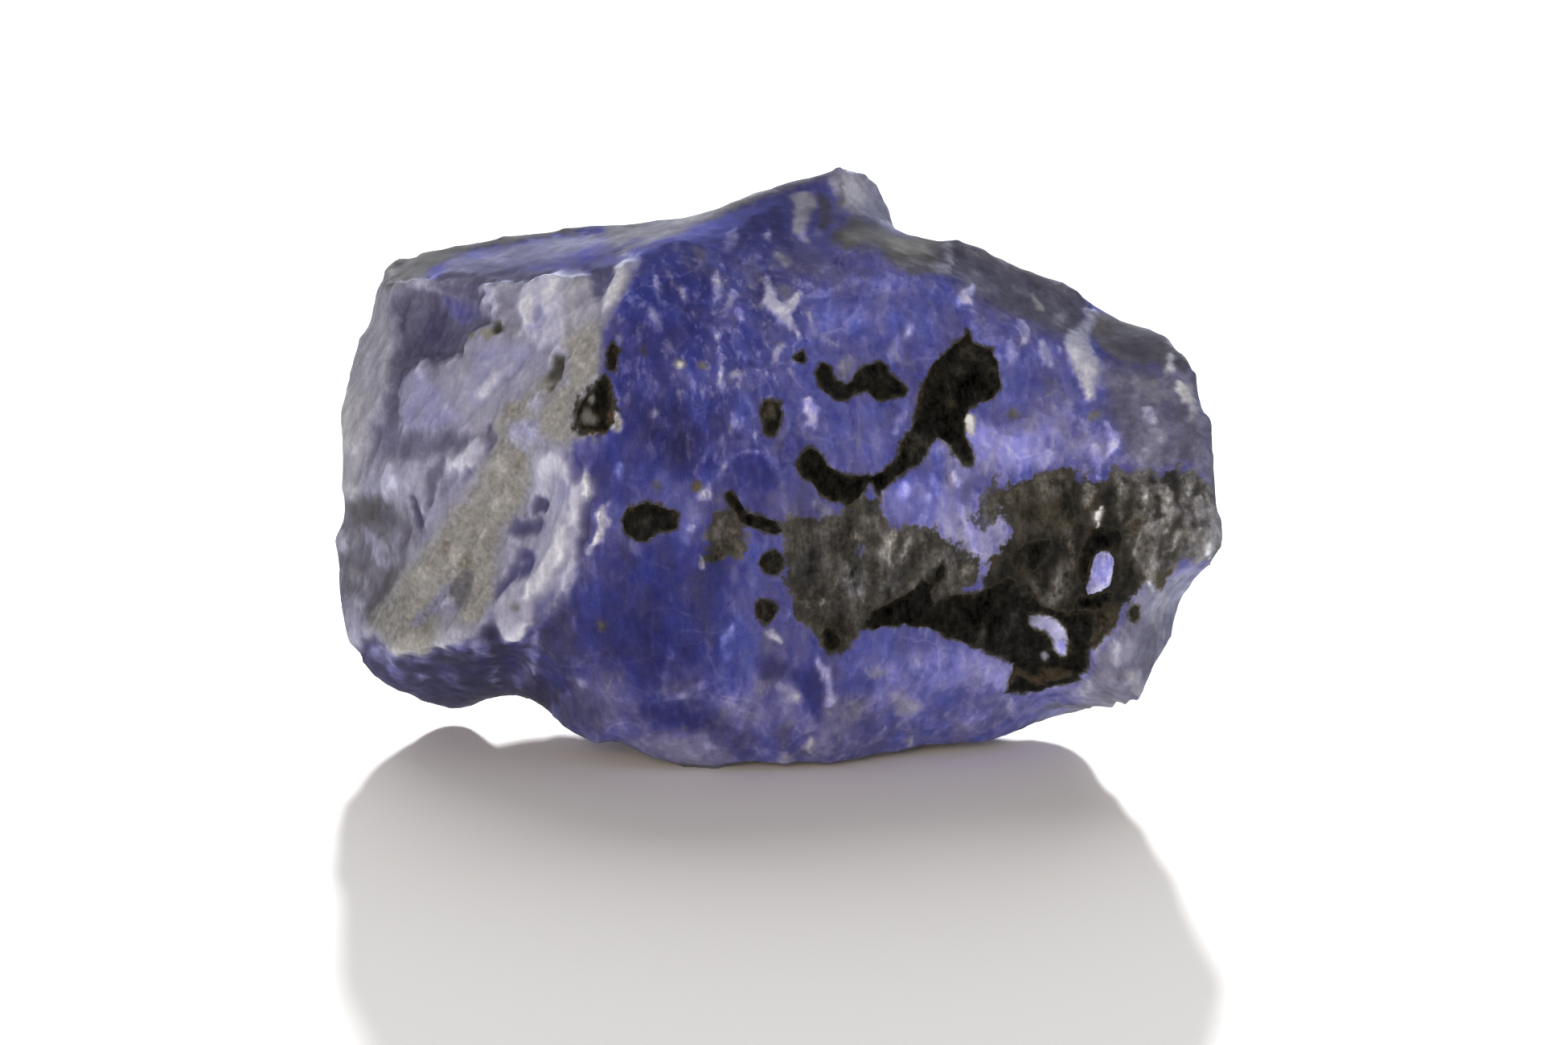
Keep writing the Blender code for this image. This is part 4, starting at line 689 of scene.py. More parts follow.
LEFT_COLOURS = [
    # narrow strip at the far left
    ("area", 146, 0.5, 7, [(430, 400), (466, 345), (486, 350), (485, 420), (484, 470), (470, 510),
                           (462, 560), (440, 640), (405, 640), (400, 560), (415, 450)]),
    ("streak", 166, 0.3, 14, [(440, 480), (434, 520), (438, 560)], 0.8),
    ("streak", 138, 0.4, 10, [(462, 360), (450, 400), (440, 440)], 0.7),
    ("spot", 108, 0.1, (478, 346), (22, 10), -14, 0.9),
    ("streak", 136, 0.7, 8, [(466, 430), (462, 480)], 0.5),
    ("streak", 160, 0.3, 9, [(430, 600), (440, 620)], 0.8),
    # hollow: its violet painted dark, with painted shade in the recess
    ("area", 84, 1.0, 5, [(487, 372), (502, 356), (522, 356), (543, 364), (573, 371), (594, 384),
                          (606, 400), (592, 410), (579, 423), (568, 440), (543, 447), (522, 447),
                          (510, 455), (502, 470), (494, 520), (484, 540), (470, 545), (480, 500),
                          (487, 480), (484, 429)]),
    ("spot", 102, 1.8, (568, 384), (26, 16), 20, 0.9),
    ("spot", 70, 1.2, (534, 410), (22, 28), -10, 0.9),
    ("spot", 92, 1.0, (500, 385), (9, 20), 10, 0.6),
    ("spot", 76, 1.0, (508, 430), (12, 16), 10, 0.8),
    ("area", 92, 1.1, 5, [(540, 350), (560, 346), (600, 352), (612, 372), (610, 396), (594, 382),
                          (570, 368), (545, 360)]),
    # slabs: their pale frosted colour, painted lighter where they face the light and darker where they turn from
    # it
    ("area", 138, 1.3, 5, [(497, 532), (500, 500), (510, 468), (522, 447), (535, 465), (543, 487),
                           (553, 491), (573, 512), (580, 529), (553, 535), (515, 537)]),
    ("spot", 168, 1.2, (521, 462), (8, 12), 0, 0.8),
    ("spot", 166, 1.1, (554, 508), (11, 12), 20, 0.8),
    ("spot", 120, 1.1, (522, 512), (8, 8), 0, 0.6),
    ("area", 140, 1.2, 6, [(588, 436), (612, 424), (646, 428), (672, 434), (655, 456), (630, 476),
                           (612, 502), (584, 512), (578, 492), (586, 462)]),
    ("spot", 118, 1.4, (600, 440), (16, 9), 0, 0.6),
    ("streak", 184, 0.9, 10, [(622, 460), (610, 478), (597, 497)], 1.0),
    ("streak", 170, 1.0, 7, [(640, 450), (626, 468)], 0.5),
    ("area", 172, 1.1, 5, [(649, 368), (663, 345), (683, 335), (699, 342), (702, 365), (704, 390),
                           (702, 416), (698, 436), (681, 428), (660, 424), (649, 413), (646, 393)]),
    ("streak", 204, 0.8, 7, [(661, 370), (658, 386), (654, 406)], 1.0),
    ("streak", 196, 0.9, 8, [(690, 346), (688, 364), (684, 380)], 0.8),
    ("streak", 132, 1.4, 7, [(672, 384), (668, 404), (658, 420)], 0.7),
    ("streak", 190, 0.8, 5, [(698, 400), (699, 424)], 0.7),
    ("area", 146, 0.6, 5, [(702, 350), (728, 340), (738, 372), (746, 386), (744, 404), (722, 416),
                           (704, 424), (702, 390)]),
    ("streak", 162, 0.6, 7, [(712, 352), (716, 380), (714, 404)], 0.5),
    ("streak", 128, 0.8, 6, [(724, 360), (722, 390)], 0.5),
    ("area", 84, 1.3, 4, [(726, 330), (746, 322), (770, 322), (758, 352), (744, 372), (734, 360)]),
    ("streak", 176, 0.6, 9, [(780, 320), (765, 350), (752, 386)], 1.0),
    ("streak", 160, 0.9, 6, [(793, 318), (788, 334)], 0.6),
    ("streak", 172, 1.2, 8, [(606, 352), (612, 366), (612, 388)], 0.9),
    ("streak", 176, 1.0, 6, [(596, 353), (602, 360)], 0.7),
    ("streak", 134, 0.8, 10, [(626, 362), (632, 384), (636, 404)], 0.7),
    ("streak", 124, 0.5, 9, [(624, 396), (636, 410), (640, 424)], 0.6),
    ("spot", 56, -0.6, (618, 405), (9, 9), 20, 1.0),
    ("spot", 130, -0.9, (608, 414), (10, 6), 0, 0.9),
    ("spot", 104, -1.0, (589, 416), (7, 7), 0, 0.8),
    ("spot", 168, 0.7, (640, 416), (10, 6), 10, 0.7),
    # grey-purple step under the slabs
    ("area", 98, 1.0, 7, [(462, 525), (485, 528), (500, 538), (540, 542), (582, 538), (590, 552),
                          (570, 562), (540, 566), (510, 572), (480, 566), (462, 570)]),
    ("streak", 80, 1.0, 6, [(500, 552), (505, 570)], 0.5),
    ("streak", 90, 1.2, 6, [(608, 530), (606, 550), (596, 566)], 0.8),
    ("streak", 188, 0.9, 12, [(596, 548), (584, 566), (566, 590)], 1.0),
    ("streak", 96, 1.0, 9, [(554, 568), (540, 590), (531, 622)], 0.9),
    ("streak", 146, 1.0, 8, [(548, 560), (530, 580), (524, 600)], 0.5),
    ("streak", 98, 1.2, 7, [(592, 580), (580, 596)], 0.8),
    ("streak", 168, 1.1, 12, [(486, 584), (484, 600), (480, 614)], 0.9),
    ("streak", 148, 1.0, 9, [(512, 580), (506, 604)], 0.6),
    ("streak", 128, 1.1, 12, [(566, 596), (552, 620), (548, 640)], 0.7),
    # low left: brown-grey lumps and slits
    ("area", 100, 0.5, 8, [(420, 640), (440, 622), (470, 618), (500, 640), (520, 670), (505, 700),
                           (492, 720), (470, 760), (452, 770), (425, 745), (408, 700), (410, 660)]),
    ("area", 80, 0.2, 5, [(430, 632), (444, 620), (470, 618), (484, 632), (480, 652), (462, 650),
                          (440, 650)]),
    ("spot", 78, 0.7, (474, 642), (9, 9), 0, 0.8),
    ("streak", 146, 1.0, 10, [(452, 660), (466, 682), (474, 704)], 0.7),
    ("streak", 150, 0.7, 9, [(424, 660), (420, 684)], 0.7),
    ("streak", 130, 0.4, 10, [(436, 712), (450, 728)], 0.6),
    ("streak", 136, -0.3, 5, [(436, 706), (440, 716)], 0.6),
    ("streak", 92, 0.5, 8, [(434, 690), (446, 706), (442, 736)], 0.6),
    ("streak", 152, 0.8, 8, [(440, 744), (452, 756), (468, 748)], 0.8),
    ("streak", 134, 0.9, 8, [(486, 660), (490, 690), (482, 706)], 0.6),
    ("streak", 68, 1.1, 7, [(509, 620), (514, 638), (523, 664)], 1.0),
    ("streak", 176, 0.9, 5, [(518, 624), (521, 636)], 0.8),
    ("streak", 98, 0.6, 5, [(502, 660), (500, 680), (501, 702)], 0.9),
    ("streak", 76, 0.3, 10, [(490, 708), (480, 732), (456, 764)], 1.0),
    ("streak", 140, 0.9, 8, [(530, 640), (524, 664), (512, 690)], 0.6),
    # beige crust, upper part beside the dark ridge grain
    ("area", 142, -0.2, 8, [(703, 423), (724, 410), (744, 404), (746, 454), (738, 480), (718, 494),
                            (714, 525), (720, 540), (693, 552), (670, 546), (670, 515), (683, 495),
                            (701, 474), (706, 449)]),
    ("streak", 58, -0.3, 8, [(690, 446), (687, 464), (684, 482)], 1.0),
    ("streak", 164, -0.3, 9, [(722, 430), (724, 456)], 0.7),
    ("streak", 118, -0.5, 7, [(734, 420), (730, 440), (722, 446)], 0.5),
    ("area", 128, -0.3, 7, [(617, 540), (622, 520), (640, 500), (658, 482), (676, 468), (690, 470),
                            (676, 494), (668, 520), (650, 536), (640, 544)]),
    ("area", 162, 1.0, 5, [(655, 500), (664, 484), (674, 482), (676, 500), (670, 512), (656, 510)]),
    ("area", 156, 1.2, 6, [(628, 545), (634, 528), (652, 520), (670, 526), (672, 546), (656, 556)]),
    ("spot", 110, -0.4, (632, 510), (6, 8), 20, 0.6),
    # beige crust, main band
    ("area", 132, -0.15, 8, [(614, 546), (630, 543), (650, 556), (670, 566), (666, 582), (661, 604),
                            (656, 622), (641, 642), (625, 660), (618, 684), (614, 709), (613, 744),
                            (600, 766), (590, 778), (573, 784), (565, 773), (572, 744), (576, 728),
                            (553, 750), (532, 774), (540, 800), (529, 820), (507, 815), (493, 808),
                            (464, 779), (456, 766), (484, 740), (494, 714), (510, 699), (522, 683),
                            (543, 668), (553, 653), (563, 632), (579, 622), (594, 604), (604, 579)]),
    ("spot", 114, -0.3, (526, 780), (34, 24), 0, 0.8),
    ("spot", 162, -0.3, (622, 578), (12, 14), 0, 0.8), ("spot", 164, -0.3, (619, 624), (10, 18), 20, 0.8),
    ("spot", 166, -0.2, (566, 690), (9, 13), 0, 0.9), ("spot", 160, -0.3, (598, 660), (8, 8), 0, 0.9),
    ("spot", 118, -0.6, (646, 572), (10, 14), 10, 0.7), ("spot", 112, -0.5, (553, 680), (7, 12), 10, 0.8),
    ("spot", 106, -0.6, (579, 700), (9, 16), 10, 0.8), ("spot", 136, -0.4, (600, 690), (8, 14), 10, 0.6),
    ("spot", 158, -0.4, (524, 712), (10, 12), 0, 0.7), ("spot", 120, -0.4, (505, 750), (12, 16), 30, 0.7),
    ("spot", 158, -0.4, (580, 768), (10, 8), 0, 0.8), ("spot", 116, -0.5, (640, 610), (6, 10), 20, 0.6),
    ("spot", 130, -0.4, (586, 640), (10, 12), 20, 0.6), ("spot", 152, -0.3, (510, 795), (20, 12), 0, 0.7),
    ("streak", 92, 0.2, 10, [(580, 712), (573, 732), (565, 750)], 1.0),
    ("area", 152, 1.1, 5, [(538, 750), (544, 736), (556, 733), (560, 744), (550, 754), (540, 756)]),
    ("streak", 114, 1.0, 6, [(508, 780), (532, 763), (560, 754)], 0.9),
    ("streak", 112, 0.9, 6, [(560, 720), (550, 740), (536, 754)], 0.7),
    ("area", 158, 0.7, 6, [(540, 792), (552, 778), (570, 784), (584, 776), (582, 794), (562, 804),
                           (548, 804)]),
    # white, splintered band against the violet face
    ("area", 152, 0.95, 6, [(668, 560), (690, 556), (704, 562), (712, 590), (730, 580), (736, 600),
                           (734, 640), (728, 660), (718, 690), (716, 712), (704, 742), (682, 766),
                           (655, 786), (634, 796), (612, 790), (606, 770), (614, 744), (622, 716),
                           (626, 690), (636, 660), (652, 640), (662, 612)]),
    ("spot", 182, 0.9, (686, 582), (16, 18), 0, 0.9),
    ("streak", 196, 0.7, 11, [(702, 656), (692, 684), (676, 714), (652, 744)], 1.0),
    ("streak", 208, 0.6, 7, [(696, 680), (686, 700)], 0.9),
    ("streak", 176, 0.9, 8, [(720, 600), (716, 630), (708, 652)], 0.8),
    ("streak", 176, 1.1, 9, [(714, 694), (710, 716), (702, 732)], 0.9),
    ("streak", 120, 1.4, 4, [(700, 600), (696, 626)], 0.6), ("streak", 118, 1.4, 4, [(710, 606), (706, 632)], 0.6),
    ("streak", 124, 1.3, 4, [(688, 610), (684, 640)], 0.5),
    ("streak", 206, 0.6, 4, [(732, 582), (731, 602), (729, 624)], 1.0),
    ("area", 66, 2.1, 4, [(701, 564), (714, 558), (732, 562), (733, 576), (724, 588), (712, 582)]),
    ("streak", 92, 1.7, 8, [(716, 584), (718, 600)], 0.8),
    ("spot", 78, 1.3, (670, 627), (8, 10), 0, 1.0),
    ("area", 78, 1.3, 4, [(634, 664), (644, 650), (660, 646), (676, 646), (672, 658), (656, 662), (644, 668)]),
    ("area", 72, 1.4, 4, [(612, 742), (613, 728), (628, 712), (640, 698), (643, 684), (654, 682),
                          (662, 692), (655, 714), (638, 722), (626, 732)]),
    ("area", 66, 1.5, 3, [(729, 627), (742, 620), (740, 640), (732, 664), (718, 690), (713, 680), (722, 650)]),
    ("streak", 192, 0.6, 6, [(752, 628), (746, 650), (744, 672), (732, 690)], 1.0),
    ("streak", 148, 0.7, 9, [(640, 740), (630, 764)], 0.6),
    ("spot", 90, -0.4, (640, 758), (4, 7), 10, 0.8),
    ("streak", 100, 1.4, 9, [(690, 738), (676, 752), (664, 768)], 0.8),
    ("streak", 182, 1.1, 9, [(652, 780), (640, 786), (630, 796)], 0.8),
    ("streak", 100, 1.3, 7, [(616, 762), (606, 784)], 0.6),
    # top edge above the left face
    ("area", 124, 1.05, 4, [(545, 336), (563, 322), (655, 303), (742, 290), (760, 300), (735, 312),
                           (681, 325), (624, 342), (579, 348), (553, 344)]),
    ("spot", 140, 0.8, (715, 300), (30, 8), -8, 0.7),
    ("streak", 82, 1.4, 6, [(620, 343), (655, 332), (700, 323), (730, 330), (757, 309), (800, 300)], 0.9),
    ("area", 98, 0.1, 4, [(460, 330), (470, 312), (520, 304), (600, 284), (700, 270), (790, 264),
                          (790, 276), (742, 284), (655, 297), (590, 310), (550, 326), (520, 344),
                          (490, 352), (466, 350)]),
    ("streak", 128, 0.1, 4, [(478, 318), (520, 310), (600, 290), (700, 277), (790, 270)], 0.6),
    # painted shade: a dark line along the crest, holding down the light the crest catches
    ("streak", 90, 1.0, 7, [(545, 346), (600, 345), (650, 341), (692, 337)], 0.9),
    # dark undercut: its violet painted dark, with painted shade under the overhang
    ("area", 46, 1.15, 5, [(440, 832), (447, 802), (462, 792), (478, 804), (496, 818), (528, 822),
                           (548, 806), (572, 808), (592, 800), (600, 784), (612, 780), (622, 800),
                           (640, 800), (660, 790), (690, 768), (706, 752), (712, 790), (706, 850),
                           (680, 890), (640, 875), (590, 895), (500, 880)]),
    ("spot", 60, 1.8, (708, 800), (34, 60), -12, 0.7),
    ("spot", 96, 1.4, (466, 812), (18, 14), 20, 0.9),
    ("spot", 42, 1.4, (560, 850), (70, 26), 4, 0.8),
    ("spot", 50, 0.9, (560, 880), (70, 12), 0, 0.7),
    ("streak", 84, 1.9, 8, [(486, 830), (500, 846)], 0.6),
    ("streak", 108, 1.7, 5, [(486, 808), (488, 826)], 0.7),
    ("streak", 104, 1.6, 4, [(520, 838), (528, 850)], 0.5),
    ("streak", 96, 1.6, 5, [(548, 840), (562, 848), (574, 856)], 0.5),
    ("streak", 112, 1.4, 5, [(610, 826), (614, 842), (620, 856)], 0.7),
    ("streak", 104, 1.6, 10, [(590, 800), (604, 816)], 0.7),
    ("streak", 40, 1.8, 9, [(596, 816), (606, 846)], 0.8),
    ("streak", 108, 1.8, 8, [(668, 790), (664, 812), (662, 836)], 0.7),
    ("streak", 78, 1.9, 9, [(650, 830), (644, 856)], 0.6),
    ("spot", 44, 2.0, (636, 822), (12, 20), 20, 0.8),
    ("spot", 50, 2.3, (690, 836), (22, 26), 0, 0.8),
]
# the black grains' own mottling
GRAIN_COLOURS = [
    ("spot", 50, -0.7, (1208, 440), (16, 14), 0, 0.7), ("spot", 44, -0.5, (1226, 450), (10, 16), 0, 0.6),
    ("spot", 46, -0.6, (1194, 462), (10, 10), 0, 0.6), ("spot", 48, -0.6, (1182, 500), (8, 14), 10, 0.5),
    ("streak", 40, -0.6, 8, [(1140, 545), (1130, 570)], 0.7),
    ("area", 92, 0.7, 4, [(1036, 430), (1056, 430), (1056, 470), (1050, 478), (1043, 470)]),
    ("streak", 122, 0.8, 5, [(1045, 444), (1048, 466)], 0.9),
    ("spot", 62, -0.7, (959, 513), (11, 14), 0, 0.8), ("spot", 42, -0.5, (797, 650), (16, 12), 0, 0.6),
    ("spot", 92, -0.2, (731, 518), (10, 12), 0, 0.95), ("spot", 108, 0.1, (738, 497), (5, 8), 10, 0.9),
    ("spot", 66, -0.9, (755, 519), (6, 10), 0, 0.8), ("spot", 46, -0.7, (960, 702), (10, 10), 0, 0.6),
    ("spot", 48, -0.9, (953, 762), (8, 9), 0, 0.7), ("spot", 56, -0.7, (912, 642), (8, 6), 0, 0.7),
    ("streak", 42, -0.9, 6, [(935, 650), (960, 658)], 0.6),
    ("spot", 62, -0.3, (1222, 790), (8, 16), 0, 0.7), ("spot", 44, -0.2, (1260, 780), (12, 20), 0, 0.6),
    ("spot", 46, -0.1, (1278, 740), (16, 14), 0, 0.6), ("spot", 54, -0.6, (1270, 715), (14, 18), 20, 0.6),
    ("streak", 58, -0.95, 8, [(1266, 836), (1290, 846), (1330, 838)], 0.9),
    ("spot", 56, -1.0, (1310, 836), (26, 10), 0, 0.9), ("streak", 62, -1.1, 8, [(1392, 740), (1384, 766), (1358, 800)], 0.8),
    ("spot", 46, -0.6, (1368, 770), (16, 14), 0, 0.6), ("spot", 140, 0.4, (1298, 815), (5, 6), 0, 0.9),
    ("spot", 50, -0.5, (1250, 830), (8, 10), 0, 0.5), ("streak", 56, -1.0, 5, [(1255, 850), (1262, 830)], 0.7),
    ("streak", 12, 0.2, 5, [(1338, 752), (1358, 745), (1382, 738)], 0.9),
]

def signed(uv, loop):
    """Distance to a closed plate outline in plate units, negative inside."""
    loop = np.array(loop, dtype=float)
    best = np.full(len(uv), 1e9)
    inside = np.zeros(len(uv), dtype=bool)
    for a, b in zip(loop, np.roll(loop, -1, axis=0)):
        ab = b - a
        t = np.clip(((uv - a) @ ab) / (ab @ ab), 0.0, 1.0)
        best = np.minimum(best, np.hypot(*(uv - a - t[:, None] * ab).T))
        if a[1] != b[1]:
            crosses = (a[1] > uv[:, 1]) != (b[1] > uv[:, 1])
            at = a[0] + (b[0] - a[0]) * (uv[:, 1] - a[1]) / (b[1] - a[1])
            inside ^= crosses & (uv[:, 0] < at)
    return np.where(inside, -best, best)


def ovals(uv, list_of):
    best = np.full(len(uv), 1e9)
    for u, v, ru, rv in list_of:
        q = np.hypot((uv[:, 0] - u) / ru, (uv[:, 1] - v) / rv)
        best = np.minimum(best, (q - 1.0) * min(ru, rv))
    return best


WIDE_EDGE = 16.0


def in_area(p, loop, soft):
    return smooth(-signed(p, loop), -soft, soft)


def in_streak(p, line, width, grain):
    """A ragged stroke that thins toward both ends."""
    pts = np.array(line, dtype=float)
    length = np.hypot(*(pts[1:] - pts[:-1]).T)
    run = np.concatenate(((0.0,), np.cumsum(length))) / length.sum()
    best = np.full(len(p), 9.0)
    for i in range(len(pts) - 1):
        ab = pts[i + 1] - pts[i]
        t = np.clip(((p - pts[i]) @ ab) / (ab @ ab), 0.0, 1.0)
        d = np.hypot(*(p - pts[i] - t[:, None] * ab).T)
        along = run[i] + t * (run[i + 1] - run[i])
        best = np.minimum(best, d / (width * (1.0 - 0.55 * (2 * along - 1) ** 2)))
    return smooth(grain * 0.55 - best, -1.45, -0.45)


def in_spot(p, centre, half, turn, grain):
    c, s = math.cos(math.radians(turn)), math.sin(math.radians(turn))
    x, y = p[:, 0] - centre[0], p[:, 1] - centre[1]
    q = np.hypot((x * c + y * s) / half[0], (y * c - x * s) / half[1])
    return smooth(grain * 0.30 - q, -1.30, -0.35)


def paint(uv, layers, tone, hue, share, grain, wider=0.0, blur=1.0):
    """Lays the layers over tone and hue, in order, where share allows it, with edges
    made ragged by grain. Returns how far each place is covered by areas; wider moves
    their painted edges out, but not the cover's, which is soft over WIDE_EDGE."""
    cover = np.zeros(len(uv))
    for layer in layers:
        kind, t, h = layer[:3]
        if kind == "area":
            pts, strength = np.array(layer[4], dtype=float), 1.0
            reach = max(layer[3] * blur + wider, WIDE_EDGE) + 4.0
        elif kind == "streak":
            pts, reach, strength = np.array(layer[4], dtype=float), layer[3] * 1.4, layer[5]
        else:
            pts, reach, strength = np.array([layer[3]], dtype=float), max(layer[4]) * 1.3, layer[6]
        lo, hi = pts.min(0) - reach, pts.max(0) + reach
        near = np.nonzero(((uv > lo) & (uv < hi)).all(1))[0]
        if not len(near):
            continue
        p = uv[near]
        if kind == "area":
            d = signed(p, layer[4])
            w = smooth(wider + grain[near] * 3.5 - d, -layer[3] * blur, layer[3] * blur)
            cover[near] = np.maximum(cover[near], np.clip(0.5 - 0.5 * d / WIDE_EDGE, 0.0, 1.0))
        elif kind == "streak":
            w = in_streak(p, layer[4], layer[3], grain[near])
        else:
            w = in_spot(p, layer[3], layer[4], layer[5], grain[near])
        w = w * strength * share[near]
        tone[near] += w * (t - tone[near])
        hue[near] += w * (h - hue[near])
    return cover


# ---------------------------------------------------------------- the stone's mesh
def evaluated(obj, **settings):
    kind = settings.pop("kind")
    mod = obj.modifiers.new(kind.title(), kind)
    for key, value in settings.items():
        setattr(mod, key, value)
    graph = bpy.context.evaluated_depsgraph_get()
    graph.update()
    return bpy.data.meshes.new_from_object(obj.evaluated_get(graph))


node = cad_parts["iolite"]
base = bpy.data.meshes.new("stone_base")
bm = bmesh.new()
bm.from_mesh(node.data)
bmesh.ops.scale(bm, vec=(1000.0,) * 3, verts=bm.verts[:])
bmesh.ops.remove_doubles(bm, verts=bm.verts[:], dist=0.0005)
bm.to_mesh(base)
bm.free()
work = bpy.data.objects.new("stone_work", base)
bpy.context.scene.collection.objects.link(work)
mesh = evaluated(work, kind="REMESH", mode="VOXEL", voxel_size=CELL, adaptivity=0.0)
bpy.data.objects.remove(work)


def arrays(mesh):
    co = np.empty(len(mesh.vertices) * 3)
    no = np.empty(len(mesh.vertices) * 3)
    mesh.vertices.foreach_get("co", co)
    mesh.vertices.foreach_get("normal", no)
    return co.reshape(-1, 3), no.reshape(-1, 3)


# the front is cut finer than the hidden sides
for level in FINER:
    co, no = arrays(mesh)
    fine_enough = no @ TO_EYE < level
    bm = bmesh.new()
    bm.from_mesh(mesh)
    bm.verts.ensure_lookup_table()
    seen = [f for f in bm.faces if not all(fine_enough[v.index] for v in f.verts)]
    bmesh.ops.subdivide_edges(bm, edges=list({e for f in seen for e in f.edges}), cuts=1,
                              use_grid_fill=True)
    bmesh.ops.triangulate(bm, faces=[f for f in bm.faces if len(f.verts) > 4],
                          quad_method="SHORT_EDGE")
    bm.to_mesh(mesh)
    bm.free()
bm = bmesh.new()
bm.from_mesh(mesh)
bmesh.ops.triangulate(bm, faces=bm.faces[:], quad_method="SHORT_EDGE")
bm.to_mesh(mesh)
bm.free()

co, no = arrays(mesh)
flat = co[:, 2] < 0.02
edges = np.empty(len(mesh.edges) * 2, dtype=np.int64)
mesh.edges.foreach_get("vertices", edges)
edges = edges.reshape(-1, 2)
tris = np.empty(len(mesh.polygons) * 3, dtype=np.int64)
mesh.polygons.foreach_get("vertices", tris)
tris = tris.reshape(-1, 3)
degree = np.bincount(edges.ravel(), minlength=len(co)).astype(float)


def eased(field, rounds, share=0.5):
    """Averaged with the neighbours along the surface."""
    f = field.copy()
    for _ in range(rounds):
        if f.ndim == 1:
            acc = np.bincount(edges[:, 0], f[edges[:, 1]], len(f)) \
                + np.bincount(edges[:, 1], f[edges[:, 0]], len(f))
            f = f + share * (acc / degree - f)
        else:
            acc = np.zeros_like(f)
            for k in range(3):
                acc[:, k] += np.bincount(edges[:, 0], f[edges[:, 1], k], len(f))
                acc[:, k] += np.bincount(edges[:, 1], f[edges[:, 0], k], len(f))
            f = f + share * (acc / degree[:, None] - f)
    return f


def normals_of(co):
    a, b, c = co[tris[:, 0]], co[tris[:, 1]], co[tris[:, 2]]
    n = np.cross(b - a, c - a)
    out = np.zeros_like(co)
    for k in range(3):
        for corner in range(3):
            out[:, k] += np.bincount(tris[:, corner], n[:, k], len(co))
    return out / np.maximum(np.linalg.norm(out, axis=1), 1e-12)[:, None]


co = np.where(flat[:, None], co, eased(co, 8))
no = normals_of(co)
facing = eased(no, 12) @ TO_EYE
front = smooth(facing, -0.38, -0.14)
behind = 1.0 - front
uv = on_plate(co)
ragged = np.stack((noise(co, 0.50, 3, 4), noise(co, 0.50, 4, 4)), axis=1)
frayed = np.stack((noise(co, 0.17, 8, 2), noise(co, 0.17, 9, 2)), axis=1)
uvw = uv + ragged * 6.0 + frayed * 2.4
uvs = uv + ragged * 9.0 + frayed * 4.0
grain = noise(co, 0.16, 10, 2, (0.1, 0.0, 1.0), 1.7) + 0.5 * noise(co, 0.34, 11)

# the hidden sides have their own dark grains and frosted panels
back_frost = smooth(noise(co, 3.6, 61, 2), 0.02, 0.30) * behind
d_back = 21.0 - 50.0 * noise(co, 1.6, 71, 2) - 6.0 * noise(co, 0.5, 72, 2)

d_black = np.minimum.reduce([signed(uvw, loop) for loop in BLACK.values()]
                            + [ovals(uvw, BLACK_OVALS)])
window = np.minimum.reduce([signed(uv + ragged * 2.0, loop) for loop in WINDOWS])
d_black = np.maximum(d_black, -window)
d_black = np.where(facing > -0.10, d_black, d_back)
left = smooth(-signed(uvw, LEFT_FACE), -6.0, 6.0) * front
brushed = smooth(-signed(uv, BRUSHED), -30.0, 30.0) * front
crust = in_area(uvs, CRUST, 6.0) * left
hollow = smooth(-signed(uvw, HOLLOW), -3.0, 15.0) * front

# ---------------------------------------------------------------- colours
lean_left = (0.42, -0.25, 0.87)
lean_front = (0.12, -0.1, 0.97)
big_l, tone_l = chips(co, 0.62, 101, lean_left, 3.2)
mid_l, tone_l2 = chips(co, 0.28, 102, lean_left, 2.8)
big_f, tone_f = chips(co, 1.25, 111, lean_front, 1.6)
mid_f, tone_f2 = chips(co, 0.50, 112, lean_front, 1.9)
small_f, tone_f3 = chips(co, 0.24, 113, lean_front, 2.0)
big_b, tone_b = chips(co, 1.7, 121)
mid_b, tone_b2 = chips(co, 0.6, 122)

tone = 82.0 + 16.0 * noise(co, 2.2, 201, 2)
hue = 2.25 + 0.3 * noise(co, 1.8, 202, 2)
tone += behind * 22.0 * noise(co, 1.1, 203, 3)
paint(uvw, FRONT_COLOURS, tone, hue, front, grain)
left_tone = 134.0 + 14.0 * noise(co, 0.9, 204, 2, lean_left, 2.0)
left_hue = 0.85 + 0.2 * noise(co, 1.2, 205, 2)
tone += left * (left_tone - tone)
hue += left * (left_hue - hue)
paint(uvs, LEFT_COLOURS, tone, hue, front, grain, blur=1.6)
brown_tone, brown_hue = tone.copy(), hue.copy()
brown = paint(uvs, BROWN_COLOURS, brown_tone, brown_hue, front, grain, 12.0)
brown *= front * smooth(window, -3.0, 3.0)
tone += back_frost * (142.0 + 24.0 * (tone_b2 - 0.5) - tone)
hue += back_frost * (0.9 - hue)
covered = smooth(brown, 0.35, 0.65)
# edges of the painted shapes are soft; a side is painted darker where more light reaches it and lighter where less
# does, and greyer where it faces the lamp behind
slope = eased(no, 16)[:, 2]
lit = np.interp(slope, *np.array(LIGHT_BY_SLOPE).T)
key = np.array((0.0, math.cos(math.radians(18.0)), math.sin(math.radians(18.0))))
to_lamp = behind * np.clip(eased(no, 16) @ key, 0.0, 1.0)
lit = 1.0 + (lit - 1.0) * front + 2.2 * to_lamp
hue *= 1.0 - 0.4 * to_lamp


def softer(field):
    once = eased(field, 1)
    return once + left * (eased(once, 1) - once)


def relit(tone):
    return 255.0 * encoded(decoded(np.clip(softer(tone), 1.0, 254.0) / 255.0) / lit)


tone, brown_tone = relit(tone), relit(brown_tone)
hue, brown_hue = softer(hue), softer(brown_hue)
calm = smooth(slope, 0.80, 0.93) * front
painted = tone + covered * (brown_tone - tone)

